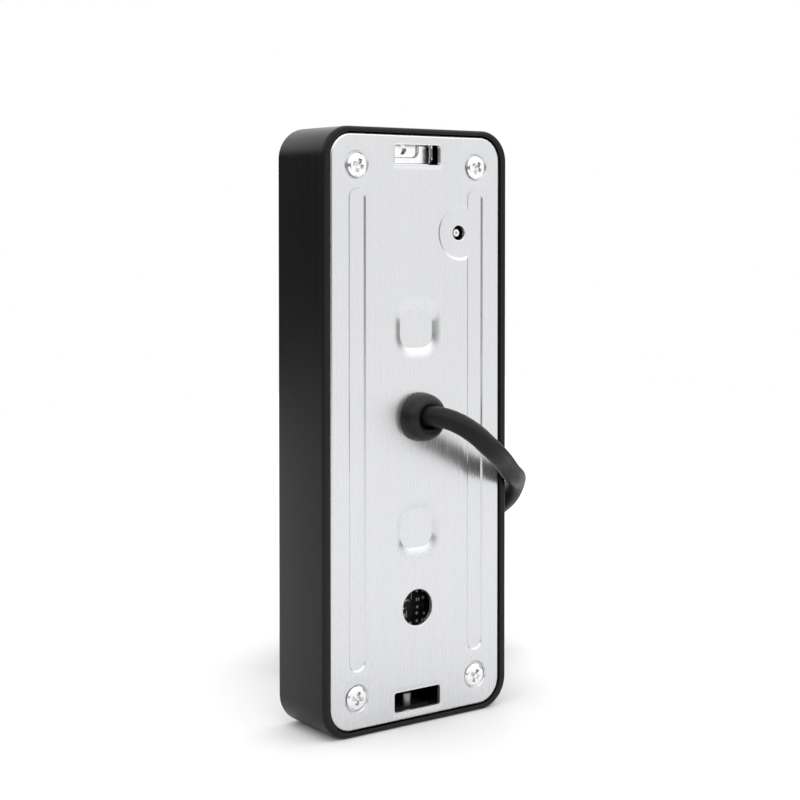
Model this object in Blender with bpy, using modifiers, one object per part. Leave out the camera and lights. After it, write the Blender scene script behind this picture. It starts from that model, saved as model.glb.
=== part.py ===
"""A slim wall-mounted video doorbell, modelled as the assembly that comes apart on a bench.

+Z is up. The front, with the camera and the call button, faces -Y. The back, with the steel plate
that goes against the wall, faces +Y. The origin is under the middle of the body, on the surface
it stands on. Sizes are in millimetres, and MM turns them into metres.
"""

from math import acos, cos, pi, radians, sin

import bmesh
import bpy
import numpy as np
from mathutils import Matrix, Vector

MM = 0.001
GAP = 0.3  # between pieces that touch

# The body.
BODY_W, BODY_D, BODY_H = 57.4, 21.0, 150.0
BODY_R = 7.8  # outline corners
FRONT, REAR = -BODY_D / 2, BODY_D / 2
WALL_FRONT = 1.8
CAVITY_W, CAVITY_H, CAVITY_R = 53.4, 147.4, 6.5
INNER_FRONT = FRONT + WALL_FRONT
BOSS_X, BOSS_Z, BOSS_R = 18.6, (9.45, 140.6), 3.2
SCREW_R = 1.5  # the shanks of the plate's screws

# The rear plate, a stamped steel sheet.
PLATE_W, PLATE_H, PLATE_R, PLATE_T = 52.8, 146.8, 6.2, 1.0
PLATE_OUT = REAR - 0.2
PLATE_IN = PLATE_OUT - PLATE_T
GROOVE_X, GROOVE_W, GROOVE_Z, GROOVE_DEEP = 18.4, 5.2, (15.8, 135.2), 0.4
DIMPLE_SIZE, DIMPLE_Z, DIMPLE_DEEP = (12.4, 12.8), (49.5, 99.8), 0.8
SLOT_W, SLOT_H, SLOT_Z = 14.3, 5.0, (6.3, 143.4)
GLAND_X, GLAND_Z = -0.4, 77.6
GLAND_OUT = 15.0  # how far back the dome reaches
ACCESS_Z, ACCESS_R = 29.5, 4.6
RESET_X, RESET_Z, RESET_R = -13.6, 123.8, 1.9

# The front.
CAMERA_Z = 122.0
IR_Z = 104.0
SPEAKER_Z = 79.0
CALL_Z = 36.0
MIC_Z = 14.5

# The boards.
BOARD_BACK, BOARD_T = 4.0, 1.6
BOARD_FRONT = BOARD_BACK - BOARD_T
MAIN_W, MAIN_Z = 43.6, (14.0, 102.0)
BOARD_SCREW_X, BOARD_SCREW_Z, BOARD_SCREW_R = 19.0, (MAIN_Z[0] + 5, MAIN_Z[1] - 5), 1.1
CAMERA_BOARD = (-1.4, 0.0)  # its front and back faces

# The cable, from inside its gland to where it joins the coil on the floor.
CORD_R = 2.6
LEAD = [
    (-0.6, 11.4, 78.1),
    (-0.8, 15.9, 78.3),
    (-2.3, 19.6, 77.8),
    (-4.5, 22.5, 76.4),
    (-7.6, 24.5, 73.9),
    (-12.0, 24.7, 70.3),
    (-18.6, 21.4, 66.2),
    (-24.2, 18.0, 62.4),
    (-33.6, 8.3, 57.7),
    (-35.5, 4.4, 54.4),
    (-37.2, -1.5, 50.7),
    (-37.1, -7.4, 46.2),
    (-35.9, -10.6, 41.1),
    (-32.9, -11.8, 28.1),
    (-33.8, -10.6, 16.5),
    (-37.5, -12.3, 9.4),
    (-42.9, -16.6, 4.6),
    (-48.6, -22.4, 2.8),
    (-54.0, -29.0, 2.6),
    (-59.0, -35.9, 2.6),
]
COIL_XY = (-37.25, -51.85)
COIL_R = 27.0
COIL_START = radians(143.8)
COIL_TURNS = 2
CLIMB, CLIMB_END = radians(60), radians(330)  # where in a turn the cable climbs onto the one below
TAIL_R = 16.0  # how tightly the tail turns in to lie across the coil
PLUG_SIDE = 20.0  # from the coil's middle to the connector's line
PLUG_HEADING = radians(53.8)
PLUG_Z = 17.5
PLUG_LONG = 36.3  # from the end of the cable to the socket's mouth
TAIL_BEND = acos((PLUG_SIDE - TAIL_R) / (COIL_R - TAIL_R))
TAIL_SWEEP = (PLUG_HEADING - pi / 2 - TAIL_BEND - COIL_START) % (2 * pi)
TIE_TURN = radians(58)

COLLECTION = "video_doorbell"


# Scene, materials and small helpers ---------------------------------------------------------


def clear_scene():
    for obj in list(bpy.data.objects):
        bpy.data.objects.remove(obj, do_unlink=True)


def new_collection(name):
    found = bpy.data.collections.get(name)
    if found is None:
        found = bpy.data.collections.new(name)
        bpy.context.scene.collection.children.link(found)
    return found


def material(name, color, roughness, metallic=0.0):
    made = bpy.data.materials.new(name)
    made.use_nodes = True
    shader = made.node_tree.nodes["Principled BSDF"]
    shader.inputs["Base Color"].default_value = (*color, 1.0)
    shader.inputs["Roughness"].default_value = roughness
    shader.inputs["Metallic"].default_value = metallic
    made.diffuse_color = (*color, 1.0)
    return made


def make_materials():
    return {
        "black_aluminium": material("black_aluminium", (0.018, 0.018, 0.02), 0.42, 0.6),
        "brushed_steel": material("brushed_steel", (0.74, 0.75, 0.76), 0.32, 1.0),
        "bright_steel": material("bright_steel", (0.8, 0.8, 0.81), 0.2, 1.0),
        "black_rubber": material("black_rubber", (0.012, 0.012, 0.013), 0.55),
        "cable_jacket": material("cable_jacket", (0.012, 0.012, 0.014), 0.45),
        "black_plastic": material("black_plastic", (0.02, 0.02, 0.022), 0.5),
        "white_plastic": material("white_plastic", (0.82, 0.82, 0.8), 0.45),
        "light_guide": material("light_guide", (0.75, 0.85, 0.92), 0.3),
        "board": material("board", (0.012, 0.014, 0.013), 0.4),
        "chip": material("chip", (0.03, 0.03, 0.032), 0.5),
        "lens_glass": material("lens_glass", (0.03, 0.035, 0.05), 0.05),
        "foam": material("foam", (0.04, 0.04, 0.042), 0.9),
        "brass": material("brass", (0.83, 0.62, 0.28), 0.3, 1.0),
        "led": material("led", (0.9, 0.88, 0.7), 0.3),
    }


def add(obj, finish, place=(0, 0, 0), turn=(0, 0, 0)):
    """Puts an object in the doorbell's collection, with its material, at a place in millimetres."""
    parts.objects.link(obj)
    obj.data.materials.clear()
    obj.data.materials.append(materials[finish])
    obj.location = Vector(place) * MM
    obj.rotation_euler = turn
    return obj


def hide(obj):
    """Turns an object into a cutter or a guide: a wire outline that isn't rendered."""
    for home in list(obj.users_collection):
        home.objects.unlink(obj)
    cutters.objects.link(obj)
    obj.hide_render = True
    obj.display_type = "WIRE"
    return obj


def boolean(obj, tool, operation):
    step = obj.modifiers.new(f"{operation.lower()}_{tool.name}", "BOOLEAN")
    step.operation = operation
    step.object = hide(tool)
    step.solver = "EXACT"


def cut(obj, *tools):
    for tool in tools:
        boolean(obj, tool, "DIFFERENCE")
    return obj


def join(obj, *tools):
    for tool in tools:
        boolean(obj, tool, "UNION")
    return obj


def from_bmesh(name, bm):
    mesh = bpy.data.meshes.new(name)
    bm.to_mesh(mesh)
    bm.free()
    return bpy.data.objects.new(name, mesh)


def shade(obj, angle=35):
    obj.data.shade_smooth()
    obj.data.set_sharp_from_angle(angle=radians(angle))
    return obj


def box(name, finish, size, place, round_y=0.0, steps=4, turn=(0, 0, 0)):
    """A box of the given size, centred at place; round_y rounds the four edges along Y."""
    bm = bmesh.new()
    bmesh.ops.create_cube(bm, size=1.0)
    bmesh.ops.scale(bm, vec=Vector(size) * MM, verts=bm.verts)
    if round_y:
        along_y = [e for e in bm.edges if abs((e.verts[0].co - e.verts[1].co).y) > size[1] * MM / 2]
        bmesh.ops.bevel(bm, geom=along_y, offset=round_y * MM, segments=steps, profile=0.5,
                        affect="EDGES", clamp_overlap=True)
    return add(shade(from_bmesh(name, bm), 30), finish, place, turn)


def slab(name, finish, width, height, radius, front, back, x=0.0, z=BODY_H / 2, steps=5):
    """A rounded rectangle seen along Y, between two depths."""
    return box(name, finish, (width, back - front, height), (x, (front + back) / 2, z), radius, steps)


def rod(name, finish, radius, front, back, x=0.0, z=0.0, sides=24):
    """A cylinder along Y, between two depths."""
    bm = bmesh.new()
    bmesh.ops.create_cone(bm, cap_ends=True, segments=sides, radius1=radius * MM,
                          radius2=radius * MM, depth=(back - front) * MM)
    return add(shade(from_bmesh(name, bm)), finish, (x, (front + back) / 2, z), (-pi / 2, 0, 0))


def turned(name, finish, profile, closed, place=(0, 0, 0), turn=(-pi / 2, 0, 0), steps=24):
    """A turned piece. profile is (radius, height) down its outer side; the axis becomes +Y."""
    mesh = bpy.data.meshes.new(name)
    points = [(r * MM, 0.0, h * MM) for r, h in profile]
    edges = [(i, i + 1) for i in range(len(points) - 1)]
    if closed:
        edges.append((len(points) - 1, 0))
    mesh.from_pydata(points, edges, [])
    obj = bpy.data.objects.new(name, mesh)
    screw = obj.modifiers.new("turn", "SCREW")
    screw.steps = screw.render_steps = steps
    screw.use_merge_vertices = True
    screw.merge_threshold = 0.00001
    screw.use_smooth_shade = True
    return add(obj, finish, place, turn)


def ring(name, finish, inner, outer, front, back, x=0.0, z=0.0, steps=24):
    profile = [(inner, back), (outer, back), (outer, front), (inner, front)]
    return turned(name, finish, profile, True, (x, 0, z), steps=steps)


def smooth_route(points, spacing):
    """Points about `spacing` apart on a natural cubic spline through the given ones."""
    knots = np.array(points, float)
    along = np.concatenate([[0], np.cumsum(np.linalg.norm(np.diff(knots, axis=0), axis=1))])
    gaps = np.diff(along)
    rows = np.eye(len(knots))
    slopes = np.zeros_like(knots)
    for i in range(1, len(knots) - 1):
        rows[i, i - 1:i + 2] = gaps[i - 1], 2 * (gaps[i - 1] + gaps[i]), gaps[i]
        rise = np.diff(knots[i - 1:i + 2], axis=0) / gaps[i - 1:i + 1, None]
        slopes[i] = 6 * (rise[1] - rise[0])
    bends = np.linalg.solve(rows, slopes)
    where = np.linspace(0, along[-1], max(2, round(along[-1] / spacing) + 1))
    i = np.clip(np.searchsorted(along, where, side="right") - 1, 0, len(gaps) - 1)
    h, a, b = gaps[i, None], (along[i + 1] - where)[:, None], (where - along[i])[:, None]
    return (
        (bends[i] * a**3 + bends[i + 1] * b**3) / (6 * h)
        + (knots[i] / h - bends[i] * h / 6) * a
        + (knots[i + 1] / h - bends[i + 1] * h / 6) * b
    )


def tube(name, finish, points, radius, resolution=2):
    """A round tube with filled ends along points in millimetres."""
    curve = bpy.data.curves.new(name, "CURVE")
    curve.dimensions = "3D"
    curve.bevel_depth = radius * MM
    curve.bevel_resolution = resolution
    curve.use_fill_caps = True
    spline = curve.splines.new("POLY")
    spline.points.add(len(points) - 1)
    for knot, point in zip(spline.points, points):
        knot.co = (*(Vector(point) * MM), 1.0)
    return add(bpy.data.objects.new(name, curve), finish)


def as_mesh(obj):
    """The same piece as a plain mesh, with its modifiers applied and a tube's caps welded."""
    bpy.context.view_layer.update()
    seen = obj.evaluated_get(bpy.context.evaluated_depsgraph_get())
    mesh = bpy.data.meshes.new_from_object(seen)
    bm = bmesh.new()
    bm.from_mesh(mesh)
    bmesh.ops.remove_doubles(bm, verts=bm.verts, dist=0.000001)
    bmesh.ops.recalc_face_normals(bm, faces=bm.faces)
    bm.to_mesh(mesh)
    bm.free()
    name, place, finish = obj.name, obj.matrix_world.copy(), obj.data.materials[0]
    bpy.data.objects.remove(obj, do_unlink=True)
    made = bpy.data.objects.new(name, mesh)
    parts.objects.link(made)
    mesh.materials.clear()
    mesh.materials.append(finish)
    made.matrix_world = place
    return made


# The shell ----------------------------------------------------------------------------------


def make_front_housing():
    """The black aluminium shell: a tray with four screw bosses and the front openings."""
    shell = slab("front_housing", "black_aluminium", BODY_W, BODY_H, BODY_R, FRONT, REAR, steps=6)
    rim = shell.modifiers.new("soft_edges", "BEVEL")
    rim.width, rim.segments, rim.limit_method, rim.angle_limit = 0.4 * MM, 1, "ANGLE", radians(60)
    cut(shell, slab("cavity", "foam", CAVITY_W, CAVITY_H, CAVITY_R, INNER_FRONT, REAR + 2, steps=6))
    for side in (-1, 1):
        for z in BOSS_Z:
            tag = f"{'l' if side < 0 else 'r'}{round(z)}"
            join(shell, rod(f"boss_{tag}", "foam", BOSS_R, INNER_FRONT - 0.6, PLATE_IN - 0.4,
                            side * BOSS_X, z, 16))
            cut(shell, rod(f"boss_bore_{tag}", "foam", SCREW_R + GAP, -2, REAR, side * BOSS_X, z, 16))
    for side in (-1, 1):
        for z in BOARD_SCREW_Z:
            tag = f"{'l' if side < 0 else 'r'}{round(z)}"
            join(shell, rod(f"post_{tag}", "foam", 2.2, INNER_FRONT - 0.6, BOARD_FRONT - GAP,
                            side * BOARD_SCREW_X, z, 14))
            cut(shell, rod(f"post_bore_{tag}", "foam", BOARD_SCREW_R + GAP, -3, REAR,
                           side * BOARD_SCREW_X, z, 12))
    cut(shell,
        rod("camera_hole", "foam", 10.5, FRONT - 1, INNER_FRONT + 1, 0, CAMERA_Z, 32),
        rod("call_hole", "foam", 12.4, FRONT - 1, INNER_FRONT + 1, 0, CALL_Z, 32),
        rod("mic_hole", "foam", 0.8, FRONT - 1, INNER_FRONT + 1, 0, MIC_Z, 12),
        slab("ir_hole", "foam", 16, 4.4, 2.15, FRONT - 1, INNER_FRONT + 1, 0, IR_Z),
        rod("lock_hole", "foam", SCREW_R + GAP, -1, 5, 0, 0, 16))
    bpy.data.objects["lock_hole"].rotation_euler = (0, 0, 0)
    bpy.data.objects["lock_hole"].location = Vector((0, 5.0, 0.5)) * MM
    for row in range(-2, 3):
        width = 22 - 3.4 * abs(row)
        cut(shell, slab(f"speaker_slot_{row + 3}", "foam", width, 1.4, 0.65, FRONT - 1,
                        INNER_FRONT + 1, 0, SPEAKER_Z + 3.2 * row, 3))
    return shell


def make_rear_plate():
    """The stamped steel back: slots, grooves, two square dimples and a round recess."""
    plate = slab("rear_plate", "brushed_steel", PLATE_W, PLATE_H, PLATE_R, PLATE_IN, PLATE_OUT, steps=6)
    pads = [slab(f"dimple_pad_{i}", "foam", 14.4, 14.8, 5.5, PLATE_IN - 0.8, PLATE_IN + 0.2, 0, z)
            for i, z in enumerate(DIMPLE_Z)]
    pads.append(rod("reset_pad", "foam", 7.6, PLATE_IN - 0.5, PLATE_IN + 0.2, RESET_X, RESET_Z, 28))
    join(plate, *pads)
    for i, z in enumerate(DIMPLE_Z):
        cut(plate, slab(f"dimple_{i}", "foam", *DIMPLE_SIZE, 4.4, PLATE_OUT - DIMPLE_DEEP,
                        REAR + 1, 0, z))
    for side in (-1, 1):
        low, high = GROOVE_Z
        cut(plate, slab(f"groove_{side + 1}", "foam", GROOVE_W, high - low, GROOVE_W / 2 - 0.05,
                        PLATE_OUT - GROOVE_DEEP, REAR + 1, side * GROOVE_X, (low + high) / 2, 6))
        for z in BOSS_Z:
            tag = f"{side + 1}_{round(z)}"
            cut(plate,
                rod(f"screw_dish_{tag}", "foam", 3.4, PLATE_OUT - 0.35, REAR + 1, side * BOSS_X, z, 20),
                rod(f"screw_hole_{tag}", "foam", SCREW_R + GAP, PLATE_IN - 1, REAR + 1,
                    side * BOSS_X, z, 16))
    for i, z in enumerate(SLOT_Z):
        cut(plate, slab(f"hook_slot_{i}", "foam", SLOT_W, SLOT_H, 0.7, PLATE_IN - 1, REAR + 1, 0, z, 2))
    return cut(
        plate,
        rod("reset_recess", "foam", 6.7, PLATE_OUT - 0.5, REAR + 1, RESET_X, RESET_Z, 28),
        rod("reset_hole", "foam", RESET_R, PLATE_IN - 2, REAR + 1, RESET_X, RESET_Z, 20),
        rod("gland_hole", "foam", 5.0, PLATE_IN - 1, REAR + 1, GLAND_X, GLAND_Z, 28),
        rod("access_hole", "foam", ACCESS_R, PLATE_IN - 1, REAR + 1, 0, ACCESS_Z, 28),
    )


def screw_mesh(head_r, head_h, shank_r, length, seat, cross):
    """A pan-head screw along +Y, with its seat at `seat` and a cross recess in its head."""
    top = seat + head_h
    profile = [(0, top), (head_r * 0.55, top - 0.04), (head_r * 0.86, top - head_h * 0.28),
               (head_r, top - head_h * 0.62), (head_r, seat), (shank_r, seat),
               (shank_r, seat - length + 0.8), (shank_r * 0.5, seat - length), (0, seat - length)]
    screw = turned("screw_blank", "bright_steel", profile, False, steps=14)
    depth = head_h * 0.75
    for i, size in enumerate(((cross * 2, depth * 2, cross * 0.52), (cross * 0.52, depth * 2, cross * 2))):
        cut(screw, box(f"cross_{head_r}_{i}", "foam", size, (0, top, 0)))
    mesh = as_mesh(screw)
    made = mesh.data
    made.transform(Matrix.Rotation(-pi / 2, 4, "X"))
    bpy.data.objects.remove(mesh, do_unlink=True)
    return made


def make_screws():
    """Four screws hold the rear plate, and four more hold the main board."""
    rear = screw_mesh(2.82, 1.1, SCREW_R, 9.0, PLATE_OUT - 0.05, 1.15)
    turns = (38, 12, 55, 24)
    places = [(side * BOSS_X, z) for z in reversed(BOSS_Z) for side in (1, -1)]
    for i, ((x, z), angle) in enumerate(zip(places, turns)):
        add(bpy.data.objects.new(f"rear_screw_{i + 1}", rear), "bright_steel", (x, 0, z),
            (0, radians(angle), 0))
    small = screw_mesh(2.0, 1.2, BOARD_SCREW_R, 5.0, BOARD_BACK + GAP, 0.8)
    places = [(side * BOARD_SCREW_X, z) for z in reversed(BOARD_SCREW_Z) for side in (1, -1)]
    for i, (x, z) in enumerate(places):
        add(bpy.data.objects.new(f"board_screw_{i + 1}", small), "bright_steel", (x, 0, z),
            (0, radians(20 + 31 * i), 0))


def make_frame_and_seal():
    """The plastic frame inside the shell's back edge, and the foam seal under the plate."""
    frame = slab("inner_frame", "black_plastic", PLATE_W, PLATE_H, PLATE_R, 4.4, 7.9, steps=5)
    cut(frame, slab("frame_window", "foam", 44.8, 143.0, 2.0, 3, 9, steps=3),
        box("lock_gap", "foam", (12.8, 6, 7), (0, 6, 2)))
    for side in (-1, 1):
        for z in BOSS_Z:
            cut(frame, rod(f"frame_notch_{side + 1}_{round(z)}", "foam", BOSS_R + GAP, 3, 9,
                           side * BOSS_X, z, 20))
    seal = slab("rear_gasket", "foam", 52.4, 146.4, 6.0, 8.2, 9.0, steps=5)
    cut(seal, slab("seal_window", "foam", 49.0, 143.0, 4.4, 7, 10, steps=5))


def make_hooks():
    """The catch behind the top slot, and the block and screw behind the bottom slot."""
    catch = slab("hook_keeper", "bright_steel", 15.6, 7.6, 1.2, 4.6, 7.2, 0, 142.4, 2)
    cut(catch, slab("catch_pocket", "foam", 8.6, 3.4, 1.2, 6.0, 9, -2.2, 143.4, 3),
        rod("catch_bore", "foam", 1.3, 3, 9, 3.6, 144.0, 16))
    block = slab("lock_block", "black_plastic", 12, 2.0, 0.4, 2.6, 7.2, 0, 2.9, 1)
    bore = rod("lock_bore", "foam", SCREW_R + GAP, -3, 3, 0, 0, 16)
    bore.rotation_euler = (0, 0, 0)
    bore.location = Vector((0, 5.0, 3.0)) * MM
    cut(block, bore)
    screw = turned("lock_screw", "bright_steel", [(0, 7.4), (1.0, 7.4), (1.5, 6.8), (1.5, 0.3), (0, 0.3)],
                   False, (0, 5.0, 0), (0, 0, 0), 20)
    recess = box("lock_recess", "foam", (1.6, 1.6, 3.0), (0, 5.0, 0.3))
    cut(screw, recess)


# The camera ---------------------------------------------------------------------------------


def make_camera():
    """From the front: bezel, window, lens, its holder, the sensor and their board."""
    here = (0, 0, CAMERA_Z)
    turned("camera_bezel", "black_plastic",
           [(6.0, -7.4), (12.5, -7.4), (12.5, -8.4), (10.2, -8.4), (10.2, -10.1), (9.8, -10.4),
            (8.2, -10.4), (7.3, -9.9), (7.3, -8.8), (6.0, -8.8)], True, here, steps=32)
    turned("camera_window", "lens_glass", [(0, -9.1), (7.0, -9.1), (7.0, -10.0), (0, -10.15)],
           False, here, steps=36)
    turned("lens_barrel", "black_plastic",
           [(0, -3.2), (5.6, -3.2), (5.6, -8.2), (5.2, -8.5), (4.2, -8.5), (3.9, -6.4), (0, -6.4)],
           False, here)
    turned("lens_element", "lens_glass",
           [(0, -6.75), (3.5, -6.75), (3.5, -7.5), (2.4, -7.95), (1.2, -8.18), (0, -8.25)], False, here)
    holder = slab("lens_holder", "black_plastic", 15, 15, 1.0, -2.9, CAMERA_BOARD[0] - GAP, 0, CAMERA_Z, 2)
    join(holder, rod("holder_sleeve", "foam", 7.0, -5.8, -2.0, 0, CAMERA_Z, 28))
    cut(holder, rod("holder_bore", "foam", 5.6 + GAP, -7, 0, 0, CAMERA_Z, 28))
    box("image_sensor", "chip", (7.0, 0.9, 6.0), (0, CAMERA_BOARD[0] - GAP - 0.45, CAMERA_Z))
    board = slab("camera_board", "board", 39, 28.5, 1.0, *CAMERA_BOARD, 0, 122.4, 1)
    cut(board, rod("ribbon_notch", "foam", 1.2, -3, 2, 14, 110.5, 10))


def make_night_light():
    """Two infrared LEDs and a light sensor on a small board behind a dark window."""
    slab("ir_window", "lens_glass", 15.4, 3.8, 1.85, -10.3, -8.9, 0, IR_Z)
    box("ir_board", "board", (18, 1.0, 7), (0, -5.2, IR_Z - 1.0))
    for i, x in enumerate((-5.0, 5.0)):
        box(f"ir_led_{i + 1}", "led", (2.6, 1.6, 2.6), (x, -6.8, IR_Z))
    box("light_sensor", "chip", (2.0, 1.1, 2.0), (0, -6.55, IR_Z))


# Sound ----------------------------------------------------------------------------------------


def make_speaker():
    """A 30 mm loudspeaker: foam ring, basket, cone and magnet."""
    ring("speaker_gasket", "foam", 12.6, 15.0, -8.4, -7.5, 0, SPEAKER_Z)
    turned("speaker_basket", "black_plastic",
           [(7.3, -2.4), (11.0, -2.4), (13.2, -6.0), (15.0, -6.0), (15.0, -7.2), (12.9, -7.2),
            (10.4, -3.4), (7.3, -3.4)], True, (0, 0, SPEAKER_Z))
    turned("speaker_cone", "foam",
           [(0, -5.0), (3.4, -5.0), (4.4, -4.5), (12.2, -6.9), (12.4, -7.2), (4.3, -5.1),
            (3.0, -6.0), (0, -6.5)], False, (0, 0, SPEAKER_Z))
    rod("speaker_magnet", "bright_steel", 7.0, -4.2, -0.4, 0, SPEAKER_Z, 28)


def make_microphone():
    turned("mic_boot", "black_rubber",
           [(0.8, -5.4), (4.0, -5.4), (4.0, -8.4), (0.8, -8.4)], True, (0, 0, MIC_Z + 0.6), steps=20)
    rod("microphone", "bright_steel", 3.0, -5.1, -2.6, 0, MIC_Z + 0.6, 20)


# The buttons ----------------------------------------------------------------------------------


def make_call_button():
    """The round call button: bezel, light ring, moving cap, and the switch that it presses."""
    here = (0, 0, CALL_Z)
    turned("button_bezel", "bright_steel",
           [(10.2, -7.4), (14.0, -7.4), (14.0, -8.4), (12.1, -8.4), (12.1, -10.2), (11.8, -10.45),
            (10.4, -10.45), (10.2, -10.2)], True, here, steps=32)
    turned("light_ring", "light_guide",
           [(8.7, -7.8), (9.8, -7.8), (9.8, -10.1), (9.6, -10.3), (8.9, -10.3), (8.7, -10.1)],
           True, here, steps=32)
    turned("call_button_cap", "black_plastic",
           [(0, -3.2), (2.0, -3.2), (2.0, -6.4), (9.4, -6.4), (9.4, -7.4), (8.3, -7.4), (8.3, -10.0),
            (7.9, -10.35), (6.0, -10.2), (0, -9.9)], False, here, steps=32)
    turned("call_switch_plunger", "white_plastic", [(0, -0.6), (1.6, -0.6), (1.6, -2.9), (0, -2.9)],
           False, here, steps=20)
    body = box("call_switch_body", "chip", (6.2, 3.6, 6.2), (0, BOARD_FRONT - GAP - 1.8, CALL_Z))
    cut(body, rod("call_switch_bore", "foam", 1.6 + GAP, -4, 0.6, 0, CALL_Z, 20))
    ring("led_ring_board", "board", 3.4, 13.0, -5.2, -4.4, 0, CALL_Z)


def make_reset_button():
    """The small reset switch behind the hole in the rear plate's round recess."""
    body = box("reset_switch_body", "chip", (6.0, 3.4, 6.0), (RESET_X, CAMERA_BOARD[1] + GAP + 1.7, RESET_Z))
    cut(body, rod("reset_switch_bore", "foam", 0.95 + GAP, 1.8, 6, RESET_X, RESET_Z, 16))
    turned("reset_plunger", "white_plastic",
           [(0, 7.9), (0.4, 7.9), (0.4, 8.6), (0.95, 8.6), (0.95, 2.2), (0, 2.2)],
           False, (RESET_X, 0, RESET_Z), steps=20)


# The main board -------------------------------------------------------------------------------


def make_main_board():
    board = slab("main_board", "board", MAIN_W, MAIN_Z[1] - MAIN_Z[0], 1.5, BOARD_FRONT, BOARD_BACK, 0,
                 sum(MAIN_Z) / 2, 2)
    cut(board, rod("wire_notch", "foam", 6.0, 1, 6, 0, GLAND_Z, 24))
    for side in (-1, 1):
        for z in BOARD_SCREW_Z:
            cut(board, rod(f"board_hole_{side + 1}_{round(z)}", "foam", BOARD_SCREW_R + GAP, 1, 6,
                           side * BOARD_SCREW_X, z, 12))
    rear = BOARD_BACK + GAP
    slab("network_transformer", "chip", 12, 15, 0.6, rear, rear + 3.4, -13.0, 64, 1)
    slab("power_inductor", "chip", 7.4, 7.4, 1.4, rear, rear + 3.0, 12.5, 88, 2)
    for i, x in enumerate((-15.5, -8.5)):
        rod(f"capacitor_{i + 1}", "bright_steel", 3.0, rear, rear + 3.6, x, 86, 20)
    slab("cable_header", "white_plastic", 13.0, 5.6, 0.5, rear, rear + 1.3, 13.0, 63, 1)
    slab("cable_plug", "white_plastic", 11.4, 4.8, 0.3, rear + 1.6, rear + 4.0, 13.0, 63, 1)
    front = BOARD_FRONT - GAP
    slab("processor_shield", "bright_steel", 20, 9.6, 0.8, front - 2.2, front, 8.5, 57.2, 2)
    slab("radio_module", "chip", 13, 9.6, 0.4, front - 1.8, front, -11.5, 57.2, 1)
    slab("ribbon_socket", "white_plastic", 9, 4.0, 0.3, front - 1.4, front, 0, 97.6, 1)


# The cable ------------------------------------------------------------------------------------


def make_gland():
    """The rubber dome that the cable leaves through, snapped into the plate's round hole."""
    out = PLATE_OUT + GAP
    gland = turned("cable_gland", "black_rubber",
                   [(0, GLAND_OUT), (3.7, GLAND_OUT), (4.5, 14.6), (5.4, 13.6), (5.95, 12.2), (6.2, out),
                    (4.7, out), (4.7, PLATE_IN - GAP), (6.3, PLATE_IN - GAP), (6.3, 7.8), (0, 7.8)],
                   False, (GLAND_X, 0, GLAND_Z), steps=24)
    cut(gland, rod("gland_bore", "foam", CORD_R + 2 * GAP, 10.6, GLAND_OUT + 1, GLAND_X - 0.3,
                   GLAND_Z + 0.6, 20))
    wires = [(0, 7.4, GLAND_Z), (0, 6.6, GLAND_Z - 0.3), (1.4, 5.9, GLAND_Z - 1.5), (4.6, 5.9, 74.0),
             (8.6, 6.4, 71.2), (11.6, 6.9, 68.6), (12.8, 7.1, 66.6), (13, 7.1, 65.8)]
    tube("inner_wires", "cable_jacket", smooth_route(wires, 1.6), 0.85)


def coil_point(turn, radius, height):
    angle = COIL_START + turn
    return (COIL_XY[0] + radius * cos(angle), COIL_XY[1] + radius * sin(angle), height)


def ease(part):
    """From 0 to 1 with level ends."""
    part = np.clip(part, 0, 1)
    return part**2 * (3 - 2 * part)


def tail_route():
    """The cable's end: it climbs onto the coil, lies on it and turns in to the connector."""
    top = CORD_R * (2 * COIL_TURNS + 1)
    start = CLIMB_END - 2 * pi
    climb = [coil_point(start - CLIMB * (1 - s), COIL_R, top - 2 * CORD_R * (1 - ease(s)))
             for s in np.linspace(0, 1, 8)[:-1]]
    lift = [top + (PLUG_Z - top) * ease(s) for s in np.linspace(0, 1, 17)]
    level = [coil_point(t, COIL_R, top) for t in np.linspace(start, TAIL_SWEEP - radians(40), 16)]
    rise = [coil_point(TAIL_SWEEP + t, COIL_R, z)
            for t, z in zip(np.linspace(radians(-40), 0, 9)[1:], lift[1:9])]
    middle = coil_point(TAIL_SWEEP, COIL_R - TAIL_R, 0)
    turns = COIL_START + TAIL_SWEEP + np.linspace(0, TAIL_BEND, 9)[1:]
    bend = [(middle[0] + TAIL_R * cos(a), middle[1] + TAIL_R * sin(a), z)
            for a, z in zip(turns, lift[9:])]
    last = (bend[-1][0] + cos(PLUG_HEADING), bend[-1][1] + sin(PLUG_HEADING), PLUG_Z)
    return np.array([*climb, *level, *rise, *bend, last])


def split(points, length):
    """Cuts a line of points where it is `length` long, with a gap left for the joint."""
    along = np.concatenate([[0], np.cumsum(np.linalg.norm(np.diff(points, axis=0), axis=1))])

    def at(where):
        return np.array([np.interp(where, along, points[:, i]) for i in range(3)])

    first = np.vstack([points[along < length - 0.5], at(length)])
    second = np.vstack([at(length + GAP), points[along > length + GAP + 0.5]])
    return first, second


def length_of(points):
    return float(np.linalg.norm(np.diff(points, axis=0), axis=1).sum())


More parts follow.
